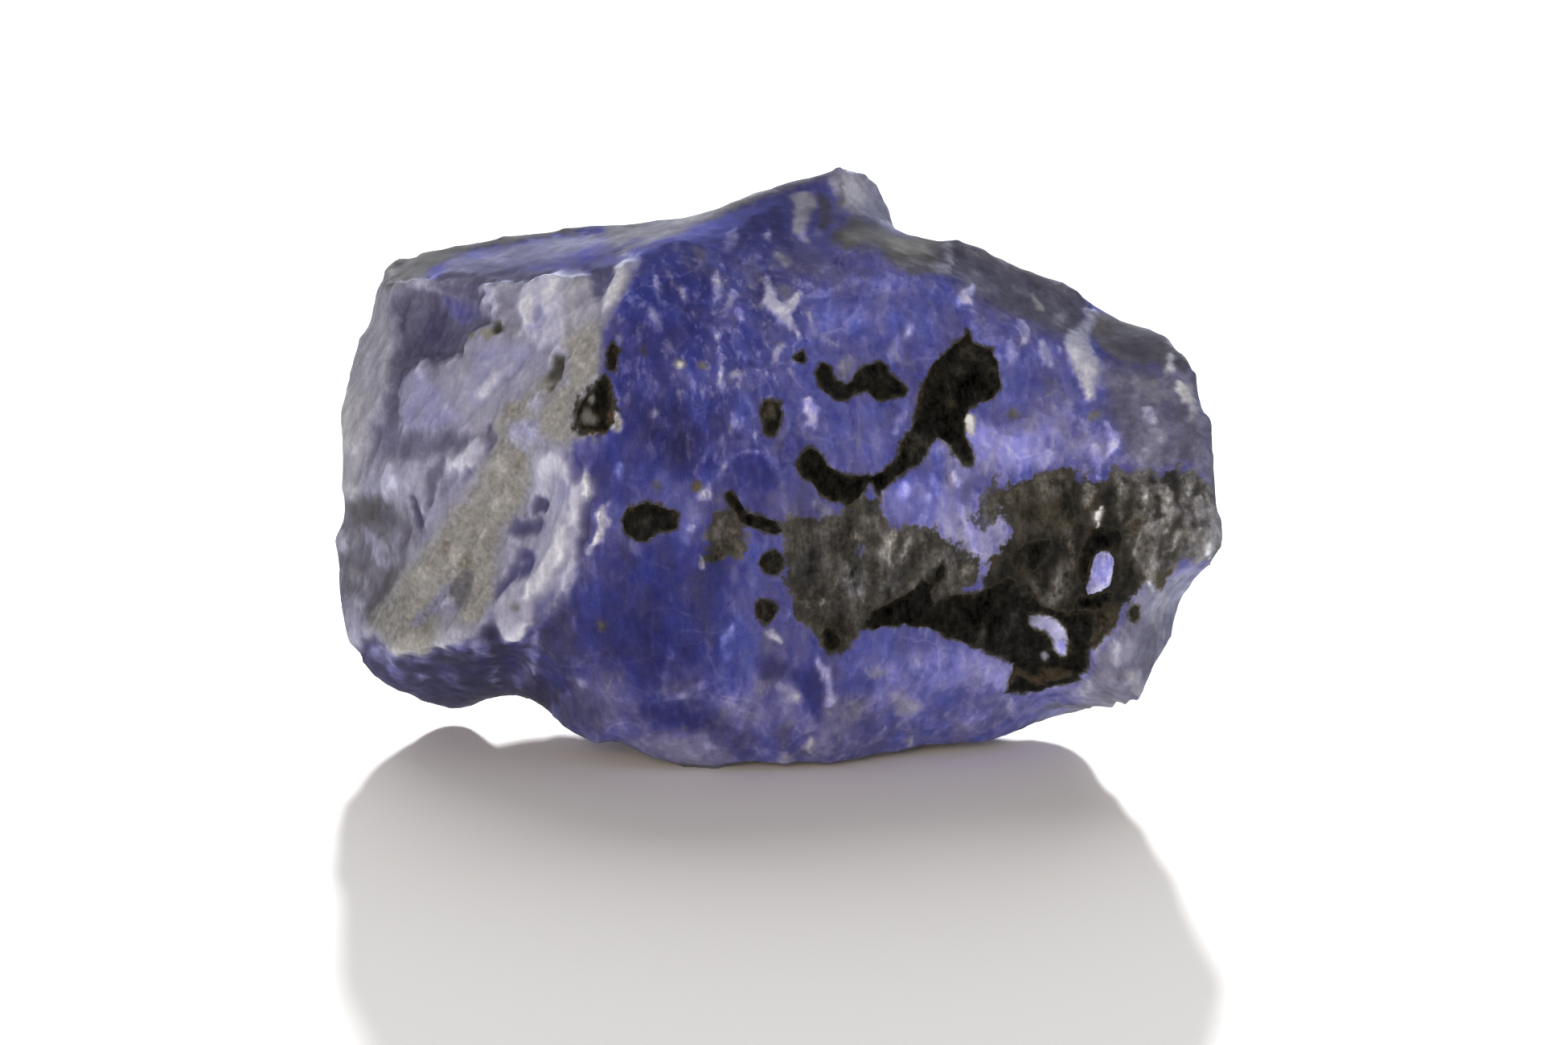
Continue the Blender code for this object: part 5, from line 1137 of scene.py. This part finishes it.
# chips differ a little in tone from their neighbours
chip_tone = np.where(left > 0.5, 9.0 * (tone_l - 0.5) + 8.0 * (tone_l2 - 0.5),
                     10.0 * (tone_f - 0.5) + 14.0 * (tone_f2 - 0.5) + 10.0 * (tone_f3 - 0.5))
chip_tone = np.where(front < 0.5, 14.0 * (tone_b - 0.5) + 16.0 * (tone_b2 - 0.5), chip_tone)
chip_tone *= (1.0 - crust) * np.clip(painted / 110.0, 0.3, 1.1)
tone += chip_tone
brown_tone += chip_tone
# a thin, lighter, reddish edge on the down-facing faces along the foot of the stone
foot = front * smooth(-facing, -0.30, -0.10) * smooth(uv[:, 1], 845.0, 880.0)
tone += foot * (100.0 - tone) * 0.6
hue += foot * (-0.4 - hue) * 0.6

# ---------------------------------------------------------------- relief
across = co @ np.array((0.80, -0.35, -0.48))
slabs = terrace(across / 0.62 + 0.75 * noise(co, 1.5, 131, 2)) - across / 0.62
left_h = 0.10 * big_l + 0.045 * mid_l + 0.03 * np.clip(slabs, -1.5, 1.5)
front_h = 0.075 * big_f + 0.045 * mid_f + 0.022 * small_f + 0.012 * noise(co, 0.2, 114, 2)
back_h = 0.13 * big_b + 0.045 * mid_b
height = left_h * left + front_h * (front - left) + back_h * behind
# light flakes stand proud, dark slits and shaded hollows are sunk
marks = painted - eased(painted, 60)
fine_marks = painted - eased(painted, 16)
height += 0.0007 * np.clip(marks, -70, 70) * front
height += 0.0016 * np.clip(eased(painted, 3) - 130.0, -60, 50) * left * (1 - hollow)
height += -0.24 * hollow
height += crust * 0.030 * noise(co, 0.17, 141, 2)
height = height * (1 - 0.35 * covered) + 0.02 * covered * noise(co, 0.16, 142, 2, lean_front, 3.0)
height *= 1.0 - 0.55 * calm
height = np.minimum(height - np.quantile(height, 0.9) * 0.5, 0.10)
co = np.where(flat[:, None], co, co + no * height[:, None])
co[:, 2] = np.where(flat, 0.0, np.maximum(co[:, 2], 0.012))
lo = np.array(cad_lo) * 1000.0 - 0.1
hi = np.array(cad_hi) * 1000.0 + 0.1
co = np.clip(co, lo, hi)
no = normals_of(co)
# sharp crests are painted paler, as wear and as painted highlight, and creases darker as painted shade
worn_lit_crests_shaded_creases = np.clip(((co - eased(co, 3)) * no).sum(1) / 0.010, -1.5, 1.5)
worn_lit_crests_shaded_creases *= 7.0 * np.clip(painted / 100.0, 0.3, 1.2)
tone += worn_lit_crests_shaded_creases
brown_tone += worn_lit_crests_shaded_creases

mesh.vertices.foreach_set("co", (co * 0.001).astype(np.float32).ravel())
mesh.update()
mesh.name = "iolite_crystal"


def attribute(mesh, name, values):
    a = mesh.attributes.new(name, "FLOAT", "POINT")
    a.data.foreach_set("value", np.asarray(values, dtype=np.float32))


for name, values in dict(tone=tone / 255.0, hue=hue, brown_tone=brown_tone / 255.0,
                         brown_hue=brown_hue, brown=brown, marks=fine_marks / 255.0,
                         d_black=d_black * MM, crust=crust, left=left, brushed=brushed,
                         frost=np.clip(left + back_frost + 2 * smooth(-slope, 0.1, 0.6), 0, 3),
                         clearer=0.15 + 0.85 * front, calm=calm).items():
    attribute(mesh, name, values)
mesh.polygons.foreach_set("use_smooth", np.ones(len(mesh.polygons), dtype=bool))
stone = bpy.data.objects.new("iolite_crystal", mesh)
bpy.context.scene.collection.objects.link(stone)


# ------------------------------------------- the dark mineral, grown into the crystal
def cut_out(co, tris, d):
    """The part of the surface where d < 0, cut exactly along d = 0. Returns, for each
    vertex, the two it lies between and how far along, and the triangles."""
    inside = d < 0
    count = inside[tris].sum(1)
    pairs, made, faces = [], {}, []

    def whole(i):
        key = (i, i)
        if key not in made:
            made[key] = len(pairs)
            pairs.append((i, i, 0.0))
        return made[key]

    def between(i, j):
        if i > j:
            i, j = j, i
        key = (i, j)
        if key not in made:
            made[key] = len(pairs)
            t = d[i] / (d[i] - d[j])
            pairs.append((i, j, min(max(t, 0.02), 0.98)))
        return made[key]

    for t in tris[count == 3].tolist():
        faces.append([whole(i) for i in t])
    for t in tris[(count == 1) | (count == 2)].tolist():
        while inside[t[0]] == inside[t[1]] or (inside[t[1]] != inside[t[2]]):
            t = t[1:] + t[:1]
        # t[0] is alone on its side
        a, b, c = t
        if inside[a]:
            faces.append([whole(a), between(a, b), between(a, c)])
        else:
            p, q = between(a, b), between(a, c)
            faces.append([p, whole(b), whole(c)])
            faces.append([p, whole(c), q])
    return pairs, faces


def inclusions(name, d, proud, depth_gain):
    pairs, faces = cut_out(co, tris, d)
    i = np.array([p[0] for p in pairs])
    j = np.array([p[1] for p in pairs])
    t = np.array([p[2] for p in pairs])[:, None]
    at = co[i] * (1 - t) + co[j] * t
    out = no[i] * (1 - t) + no[j] * t
    out /= np.linalg.norm(out, axis=1)[:, None]
    deep_in = np.maximum(-(d[i] * (1 - t[:, 0]) + d[j] * t[:, 0]), 0.0)
    deep_in[i != j] = 0.0
    grain = chips(at, 0.26, 151, (0.1, 0.0, 1.0), 2.0)[0]
    lift = proud * smooth(deep_in, 0.0, 0.07) * (1.0 + 0.9 * grain)
    sink = 0.9 * np.sqrt(deep_in * 0.35 + 1e-9) * depth_gain * smooth(deep_in, 0.0, 0.05)
    rim = deep_in <= 0.0
    top = at + out * lift[:, None]
    low = at - out * (sink * (1.0 + 0.5 * noise(at, 0.7, 152)))[:, None]
    top[:, 2] = np.maximum(top[:, 2], 0.0)
    low[:, 2] = np.maximum(low[:, 2], 0.0)
    n = len(pairs)
    place = np.arange(n) + n
    place[rim] = np.arange(n)[rim]
    verts = np.concatenate((top, low))
    f = np.array(faces)
    back = place[f][:, ::-1]
    used = np.unique(np.concatenate((f.ravel(), back.ravel())))
    remap = np.full(2 * n, -1)
    remap[used] = np.arange(len(used))
    out_mesh = bpy.data.meshes.new(name)
    keep_back = (back[:, 0] != back[:, 1]) & (back[:, 1] != back[:, 2]) & (back[:, 2] != back[:, 0])
    all_faces = np.concatenate((remap[f], remap[back[keep_back]]))
    out_mesh.from_pydata((verts[used] * 0.001).tolist(), [], all_faces.tolist())
    out_mesh.update()
    # tones of the dark mineral
    where = on_plate(at)
    wobbled = where + np.stack((noise(at, 0.4, 5, 3), noise(at, 0.4, 6, 3)), axis=1) * 6.0
    dark_tone = 20.0 + 8.0 * noise(at, 0.5, 206, 2)
    dark_hue = -0.45 + 0.3 * noise(at, 0.6, 207)
    ahead = smooth(out @ TO_EYE, -0.1, 0.1)
    paint(wobbled, GRAIN_COLOURS, dark_tone, dark_hue, ahead, noise(at, 0.16, 10, 2))
    edge = smooth(-deep_in, -0.09, 0.0)
    dark_tone += edge * (54.0 - dark_tone) * 0.55
    dark_hue += edge * (-1.1 - dark_hue) * 0.6
    for key, values in dict(tone=dark_tone / 255.0, hue=dark_hue).items():
        attribute(out_mesh, key, np.concatenate((values, values))[used])
    out_mesh.polygons.foreach_set("use_smooth", np.ones(len(out_mesh.polygons), dtype=bool))
    return out_mesh


d_mm = d_black * MM
dark_mesh = inclusions("dark_grains", np.where(d_mm == 0.0, 1e-6, d_mm), 0.022, 1.0)
dark = bpy.data.objects.new("dark_grains", dark_mesh)
bpy.context.scene.collection.objects.link(dark)


# ---------------------------------------------------------------- materials
class Nodes:
    def __init__(self, name):
        self.mat = bpy.data.materials.new(name)
        self.mat.use_nodes = True
        self.tree = self.mat.node_tree
        self.tree.nodes.clear()

    def new(self, kind, inputs=None, **props):
        n = self.tree.nodes.new(kind)
        for k, v in props.items():
            setattr(n, k, v)
        for k, v in (inputs or {}).items():
            self.set(n.inputs[k], v)
        return n

    def set(self, socket, v):
        if isinstance(v, bpy.types.NodeSocket):
            self.tree.links.new(v, socket)
        else:
            socket.default_value = v

    def math(self, op, a, b=None, c=None, clamp=False):
        n = self.new("ShaderNodeMath", operation=op, use_clamp=clamp)
        for i, v in enumerate((a, b, c)):
            if v is not None:
                self.set(n.inputs[i], v)
        return n.outputs[0]

    def ramp(self, x, a, b, lo=0.0, hi=1.0, kind="SMOOTHSTEP"):
        n = self.new("ShaderNodeMapRange", interpolation_type=kind)
        self.set(n.inputs["Value"], x)
        n.inputs["From Min"].default_value = a
        n.inputs["From Max"].default_value = b
        n.inputs["To Min"].default_value = lo
        n.inputs["To Max"].default_value = hi
        return n.outputs[0]

    def mix(self, f, a, b, blend="MIX"):
        n = self.new("ShaderNodeMix", data_type="RGBA", blend_type=blend)
        self.set(n.inputs[0], f)
        self.set(n.inputs[6], a)
        self.set(n.inputs[7], b)
        return n.outputs[2]

    def attr(self, name):
        return self.new("ShaderNodeAttribute", attribute_name=name).outputs["Fac"]

    def noise(self, where, scale, detail=3.0, rough=0.55, distortion=0.0):
        n = self.new("ShaderNodeTexNoise", {"Vector": where, "Scale": scale, "Detail": detail,
                                            "Roughness": rough, "Distortion": distortion})
        return n.outputs[0]

    def swing(self, x, gain):
        """A noise output turned into a swing about zero."""
        return self.math("MULTIPLY", self.math("SUBTRACT", x, 0.5), gain)

    def total(self, *terms):
        out = terms[0]
        for term in terms[1:]:
            out = self.math("ADD", out, term)
        return out

    def mapping(self, where, rotation=(0, 0, 0), scale=(1, 1, 1)):
        n = self.new("ShaderNodeMapping", {"Vector": where})
        n.inputs["Rotation"].default_value = rotation
        n.inputs["Scale"].default_value = scale
        return n.outputs[0]

    def scale_of(self, x, stops):
        """Colours along a scale of lightness."""
        n = self.new("ShaderNodeValToRGB", {"Fac": x})
        r = n.color_ramp
        while len(r.elements) > 1:
            r.elements.remove(r.elements[-1])
        r.elements[0].position = stops[0][0]
        r.elements[0].color = rgb(*stops[0][1])
        for at, colour in stops[1:]:
            e = r.elements.new(at)
            e.color = rgb(*colour)
        return n.outputs[0]


def rgb(r, g, b):
    """sRGB 0-255 to linear."""
    out = []
    for c in (r, g, b):
        c = c / 255.0
        out.append(c / 12.92 if c <= 0.04045 else ((c + 0.055) / 1.055) ** 2.4)
    return (*out, 1.0)


# how each family of colours runs from dark to light
FAMILIES = [
    (-2.0, [(0.0, (20, 0, 0)), (0.2, (90, 44, 36)), (0.34, (166, 88, 78)), (0.7, (232, 180, 160)), (1.0, (255, 250, 246))]),
    (-1.0, [(0.0, (0, 0, 0)), (0.12, (34, 31, 23)), (0.25, (70, 63, 49)), (0.4, (108, 101, 86)),
            (0.58, (154, 147, 132)), (0.75, (198, 190, 176)), (1.0, (255, 255, 255))]),
    (0.0, [(0.0, (0, 0, 0)), (0.12, (31, 31, 30)), (0.25, (65, 64, 62)), (0.4, (104, 102, 101)),
           (0.58, (150, 148, 146)), (0.75, (193, 191, 190)), (1.0, (255, 255, 255))]),
    (1.0, [(0.0, (0, 0, 4)), (0.12, (32, 30, 46)), (0.25, (66, 63, 86)), (0.4, (104, 102, 126)),
           (0.58, (149, 148, 171)), (0.75, (192, 191, 208)), (1.0, (255, 255, 255))]),
    (2.0, [(0.0, (4, 4, 22)), (0.12, (32, 31, 76)), (0.25, (64, 63, 122)), (0.4, (102, 102, 163)),
           (0.58, (148, 148, 205)), (0.75, (191, 191, 229)), (1.0, (255, 255, 255))]),
    (3.0, [(0.0, (0, 2, 40)), (0.12, (24, 29, 94)), (0.25, (54, 61, 141)), (0.4, (94, 102, 184)),
           (0.58, (146, 149, 232)), (0.75, (191, 193, 248)), (1.0, (255, 255, 255))]),
]


def coloured(m, tone, hue):
    col = None
    for at, stops in FAMILIES:
        own = m.scale_of(tone, stops)
        col = own if col is None else m.mix(m.ramp(hue, at - 1.0, at, kind="LINEAR"), col, own)
    return col


def crystal_material():
    m = Nodes("iolite_crystal")
    where = m.new("ShaderNodeTexCoord").outputs["Object"]
    mm = m.mapping(where, scale=(1000.0,) * 3)
    leaning = m.mapping(mm, rotation=(0.15, 0.55, 0.0), scale=(1.0, 1.0, 0.30))
    upright = m.mapping(mm, rotation=(0.05, 0.12, 0.0), scale=(1.0, 1.0, 0.45))
    fine = m.noise(mm, 2.6, 5.0, 0.62)
    slash = m.noise(leaning, 2.8, 6.0, 0.66)
    streak = m.noise(upright, 3.2, 6.0, 0.66)
    grit = m.noise(mm, 8.0, 4.0, 0.6)
    left, crust, brown = m.attr("left"), m.attr("crust"), m.attr("brown")
    frost, hue0 = m.attr("frost"), m.attr("hue")
    clearish = m.ramp(hue0, 1.1, 2.1)

    # a web of fine healed cracks in the clear crystal
    bent = m.new("ShaderNodeVectorMath", {0: mm}, operation="ADD")
    push = m.new("ShaderNodeTexNoise", {"Vector": mm, "Scale": 1.1, "Detail": 3.0})
    gain = m.new("ShaderNodeVectorMath", {0: push.outputs[1], 1: (0.9, 0.9, 0.9)}, operation="MULTIPLY")
    m.tree.links.new(gain.outputs[0], bent.inputs[1])
    cells = m.new("ShaderNodeTexVoronoi", {"Vector": bent.outputs[0], "Scale": 0.85},
                  feature="DISTANCE_TO_EDGE")
    web = m.ramp(cells.outputs[0], 0.0, 0.06, 1.0, 0.0)
    web = m.math("MULTIPLY", web, m.ramp(m.noise(mm, 0.8, 2.0), 0.42, 0.60))
    web = m.math("MULTIPLY", web, clearish)

    # fine upright scratches
    hair = m.mapping(mm, rotation=(0.05, 0.14, 0.0), scale=(1.0, 1.0, 0.30))
    scratch = m.ramp(m.noise(hair, 4.6, 3.0, 0.55), 0.50, 0.72, -0.25, 1.0)
    scratch = m.math("MULTIPLY", scratch, m.ramp(m.attr("brushed"), 0.0, 1.0, 0.35, 1.0))
    scratch = m.math("MULTIPLY", scratch, clearish)

    tone0 = m.attr("tone")
    lively = m.ramp(tone0, 0.05, 0.45, 0.35, 1.0)
    broad = m.noise(upright, 1.15, 3.0, 0.55, 0.6)
    swing = m.total(m.swing(streak, 0.36), m.swing(fine, 0.20), m.swing(grit, 0.06),
                    m.swing(broad, 0.20), m.math("MULTIPLY", scratch, 0.20), m.math("MULTIPLY", web, 0.08))
    swing_l = m.total(m.swing(slash, 0.36), m.swing(grit, 0.14))
    swing_c = m.total(m.swing(grit, 0.34), m.swing(fine, 0.16))

    def choose(share, a, b):
        return m.total(m.math("MULTIPLY", a, m.math("SUBTRACT", 1.0, share)), m.math("MULTIPLY", b, share))

    swing = choose(left, swing, swing_l)
    swing = choose(crust, swing, swing_c)
    # the painted marks break up into fibres
    breakup = m.ramp(m.total(m.math("MULTIPLY", choose(left, streak, slash), 0.75),
                             m.math("MULTIPLY", grit, 0.25)), 0.40, 0.60, -0.75, 0.45)
    swing = m.total(swing, m.math("MULTIPLY", m.attr("marks"), breakup))
    even = m.ramp(m.attr("calm"), 0.0, 1.0, 1.0, 0.45)
    swing = m.math("MULTIPLY", swing, even)
    tone = m.math("ADD", tone0, m.math("MULTIPLY", swing, lively))
    # lighter places are greyer, and purple and blue patches lie side by side
    patches = m.noise(upright, 1.5, 3.0, 0.5, 0.4)
    greyer = m.math("MULTIPLY", m.math("MULTIPLY", swing, clearish), -3.0)
    hue = m.total(hue0, m.swing(fine, 0.4), m.math("MULTIPLY", m.math("MULTIPLY", m.swing(patches, 3.2), clearish), even), greyer)

    # the grey-brown mineral lies over it, with frayed edges
    fray = m.total(m.swing(streak, 1.3), m.swing(grit, 0.6))
    over = m.ramp(m.math("ADD", brown, fray), 0.38, 0.62)
    over = m.math("MULTIPLY", over, m.ramp(brown, 0.02, 0.12))
    brown_tone = m.attr("brown_tone")
    lively_b = m.ramp(brown_tone, 0.05, 0.40, 0.45, 1.0)
    swing_b = m.total(m.swing(streak, 0.80), m.swing(grit, 0.34), m.swing(fine, 0.26), m.swing(broad, 0.30),
                      m.math("MULTIPLY", m.attr("marks"), breakup))
    tone_b = m.math("ADD", brown_tone, m.math("MULTIPLY", swing_b, lively_b))
    hue_b = m.math("ADD", m.attr("brown_hue"), m.swing(fine, 1.2))
    tone = choose(over, tone, tone_b)
    hue = choose(over, hue, hue_b)

    # and the crystal is stained dark where it meets the dark mineral
    torn = m.total(m.attr("d_black"), m.swing(grit, 0.14), m.swing(streak, 0.22))
    stain = m.ramp(torn, -0.02, 0.11, 1.0, 0.0)
    deep = m.math("MULTIPLY", stain, 0.85)
    tone = choose(deep, tone, m.math("ADD", m.swing(grit, 0.10), 0.17))
    hue = choose(deep, hue, m.math("ADD", m.swing(fine, 1.0), -1.0))

    col = coloured(m, tone, hue)
    strong = m.mix(clearish, (*GAIN, 1.0), (*GAIN_CLEAR, 1.0))
    strong = m.mix(m.math("MAXIMUM", over, stain), strong, (*GAIN, 1.0))
    col = m.mix(1.0, col, strong, "MULTIPLY")

    clear = m.ramp(hue0, 1.1, 2.1, 0.06, 0.44)
    clear = m.math("MULTIPLY", clear, m.ramp(tone0, 0.35, 0.70, 1.0, 0.35))
    clear = m.math("MULTIPLY", clear, m.math("SUBTRACT", 1.0, m.math("MULTIPLY", over, 0.9)))
    clear = m.math("MULTIPLY", clear, m.math("SUBTRACT", 1.0, stain))
    clear = m.math("MULTIPLY", clear, m.ramp(fine, 0.35, 0.65, 0.7, 1.0))
    clear = m.math("MULTIPLY", clear, m.attr("clearer"))

    rough = m.ramp(fine, 0.35, 0.65, 0.20, 0.42)
    rough = m.math("ADD", rough, m.math("MULTIPLY", frost, 0.18), clamp=True)
    rough = m.math("ADD", rough, m.math("MULTIPLY", crust, 0.3))

    height = m.math("ADD", m.math("MULTIPLY", choose(left, streak, slash), 0.5), m.math("MULTIPLY", grit, 0.5))
    height = m.math("MULTIPLY", height, m.ramp(m.attr("calm"), 0.0, 1.0, 1.0, 0.35))
    bump = m.new("ShaderNodeBump", {"Strength": 0.6, "Distance": 0.00006, "Height": height})
    bsdf = m.new("ShaderNodeBsdfPrincipled", {
        "Base Color": col, "Roughness": rough, "IOR": 1.54, "Specular IOR Level": 0.15,
        "Transmission Weight": clear, "Normal": bump.outputs[0]})
    out = m.new("ShaderNodeOutputMaterial")
    m.tree.links.new(bsdf.outputs[0], out.inputs["Surface"])
    vol = m.new("ShaderNodeVolumeAbsorption")
    vol.inputs["Color"].default_value = (0.50, 0.50, 0.86, 1.0)
    vol.inputs["Density"].default_value = 180.0
    m.tree.links.new(vol.outputs[0], out.inputs["Volume"])
    return m.mat


def grain_material():
    m = Nodes("dark_grains")
    where = m.new("ShaderNodeTexCoord").outputs["Object"]
    mm = m.mapping(where, scale=(1000.0,) * 3)
    upright = m.mapping(mm, rotation=(0.05, 0.12, 0.0), scale=(1.0, 1.0, 0.5))
    fibre = m.noise(upright, 5.0, 5.0, 0.65)
    broad = m.noise(mm, 1.3, 3.0, 0.5)
    grit = m.noise(mm, 10.0, 3.0, 0.6)
    tone = m.total(m.attr("tone"), m.swing(fibre, 0.40), m.swing(grit, 0.14), m.swing(broad, 0.12))
    hue = m.total(m.attr("hue"), m.swing(broad, 1.6))
    col = coloured(m, tone, hue)
    col = m.mix(1.0, col, (*GAIN, 1.0), "MULTIPLY")
    rough = m.ramp(fibre, 0.3, 0.7, 0.35, 0.6)
    bump = m.new("ShaderNodeBump", {"Strength": 0.5, "Distance": 0.00004, "Height": fibre})
    bsdf = m.new("ShaderNodeBsdfPrincipled", {
        "Base Color": col, "Roughness": rough, "IOR": 1.45, "Specular IOR Level": 0.05,
        "Normal": bump.outputs[0]})
    out = m.new("ShaderNodeOutputMaterial")
    m.tree.links.new(bsdf.outputs[0], out.inputs["Surface"])
    return m.mat


mesh.materials.clear()
mesh.materials.append(crystal_material())
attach(stone, "root")
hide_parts("iolite")
dark_mesh.materials.append(grain_material())
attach(dark, "root")

# ---------------------------------------------------------------- the setting
floor_mesh = bpy.data.meshes.new("floor")
R = 1.2
floor_mesh.from_pydata([(-R, -R, 0), (R, -R, 0), (R, R, 0), (-R, R, 0)], [], [(0, 1, 2, 3)])
floor = bpy.data.objects.new("floor", floor_mesh)
bpy.context.scene.collection.objects.link(floor)
paper = Nodes("floor_paper")
flat_bsdf = paper.new("ShaderNodeBsdfPrincipled", {"Base Color": (0.92, 0.92, 0.92, 1.0), "Roughness": 0.6,
                                                   "Specular IOR Level": 0.2})
paper_out = paper.new("ShaderNodeOutputMaterial")
paper.tree.links.new(flat_bsdf.outputs[0], paper_out.inputs["Surface"])
floor_mesh.materials.append(paper.mat)
floor.visible_glossy = False

# soft studio
world = bpy.data.worlds.new("studio")
world.use_nodes = True
sky = world.node_tree.nodes["Background"]
sky.inputs["Color"].default_value = (*DOME_COLOUR, 1.0)
sky.inputs["Strength"].default_value = DOME
bpy.context.scene.world = world


def area_light(name, azimuth, elevation, distance, across, floor_level, colour, height):
    """A round lamp. floor_level is how bright it makes white paper lying flat."""
    light = bpy.data.lights.new(name, "AREA")
    light.shape = "DISK"
    light.size = across
    a, e = math.radians(azimuth), math.radians(elevation)
    light.energy = floor_level * math.pi ** 2 * distance ** 2 / math.sin(e)
    light.color = colour
    o = bpy.data.objects.new(name, light)
    d = Vector((math.sin(a) * math.cos(e), -math.cos(a) * math.cos(e), math.sin(e)))
    o.location = Vector((0, 0, height)) + d * distance
    o.rotation_euler = (-d).to_track_quat("-Z", "Y").to_euler()
    o.visible_camera = False
    o.visible_glossy = False
    o.visible_transmission = False
    bpy.context.scene.collection.objects.link(o)
    return o


for lamp in LAMPS:
    area_light(*lamp)

camera = bpy.data.cameras.new("camera")
camera.sensor_width = 36.0
camera.lens = 36.0 * EYE_DISTANCE / (1950.0 * MM)
camera.clip_start, camera.clip_end = 0.01, 10.0
eye = bpy.data.objects.new("camera", camera)
back = Vector(TO_EYE)
eye.location = (Vector(TARGET) + back * EYE_DISTANCE) * 0.001
eye.rotation_euler = (-back).to_track_quat("-Z", "Y").to_euler()
bpy.context.scene.collection.objects.link(eye)
bpy.context.scene.camera = eye
bpy.context.scene.view_settings.view_transform = "Standard"

print("crystal", len(mesh.polygons), "grains", len(dark_mesh.polygons))
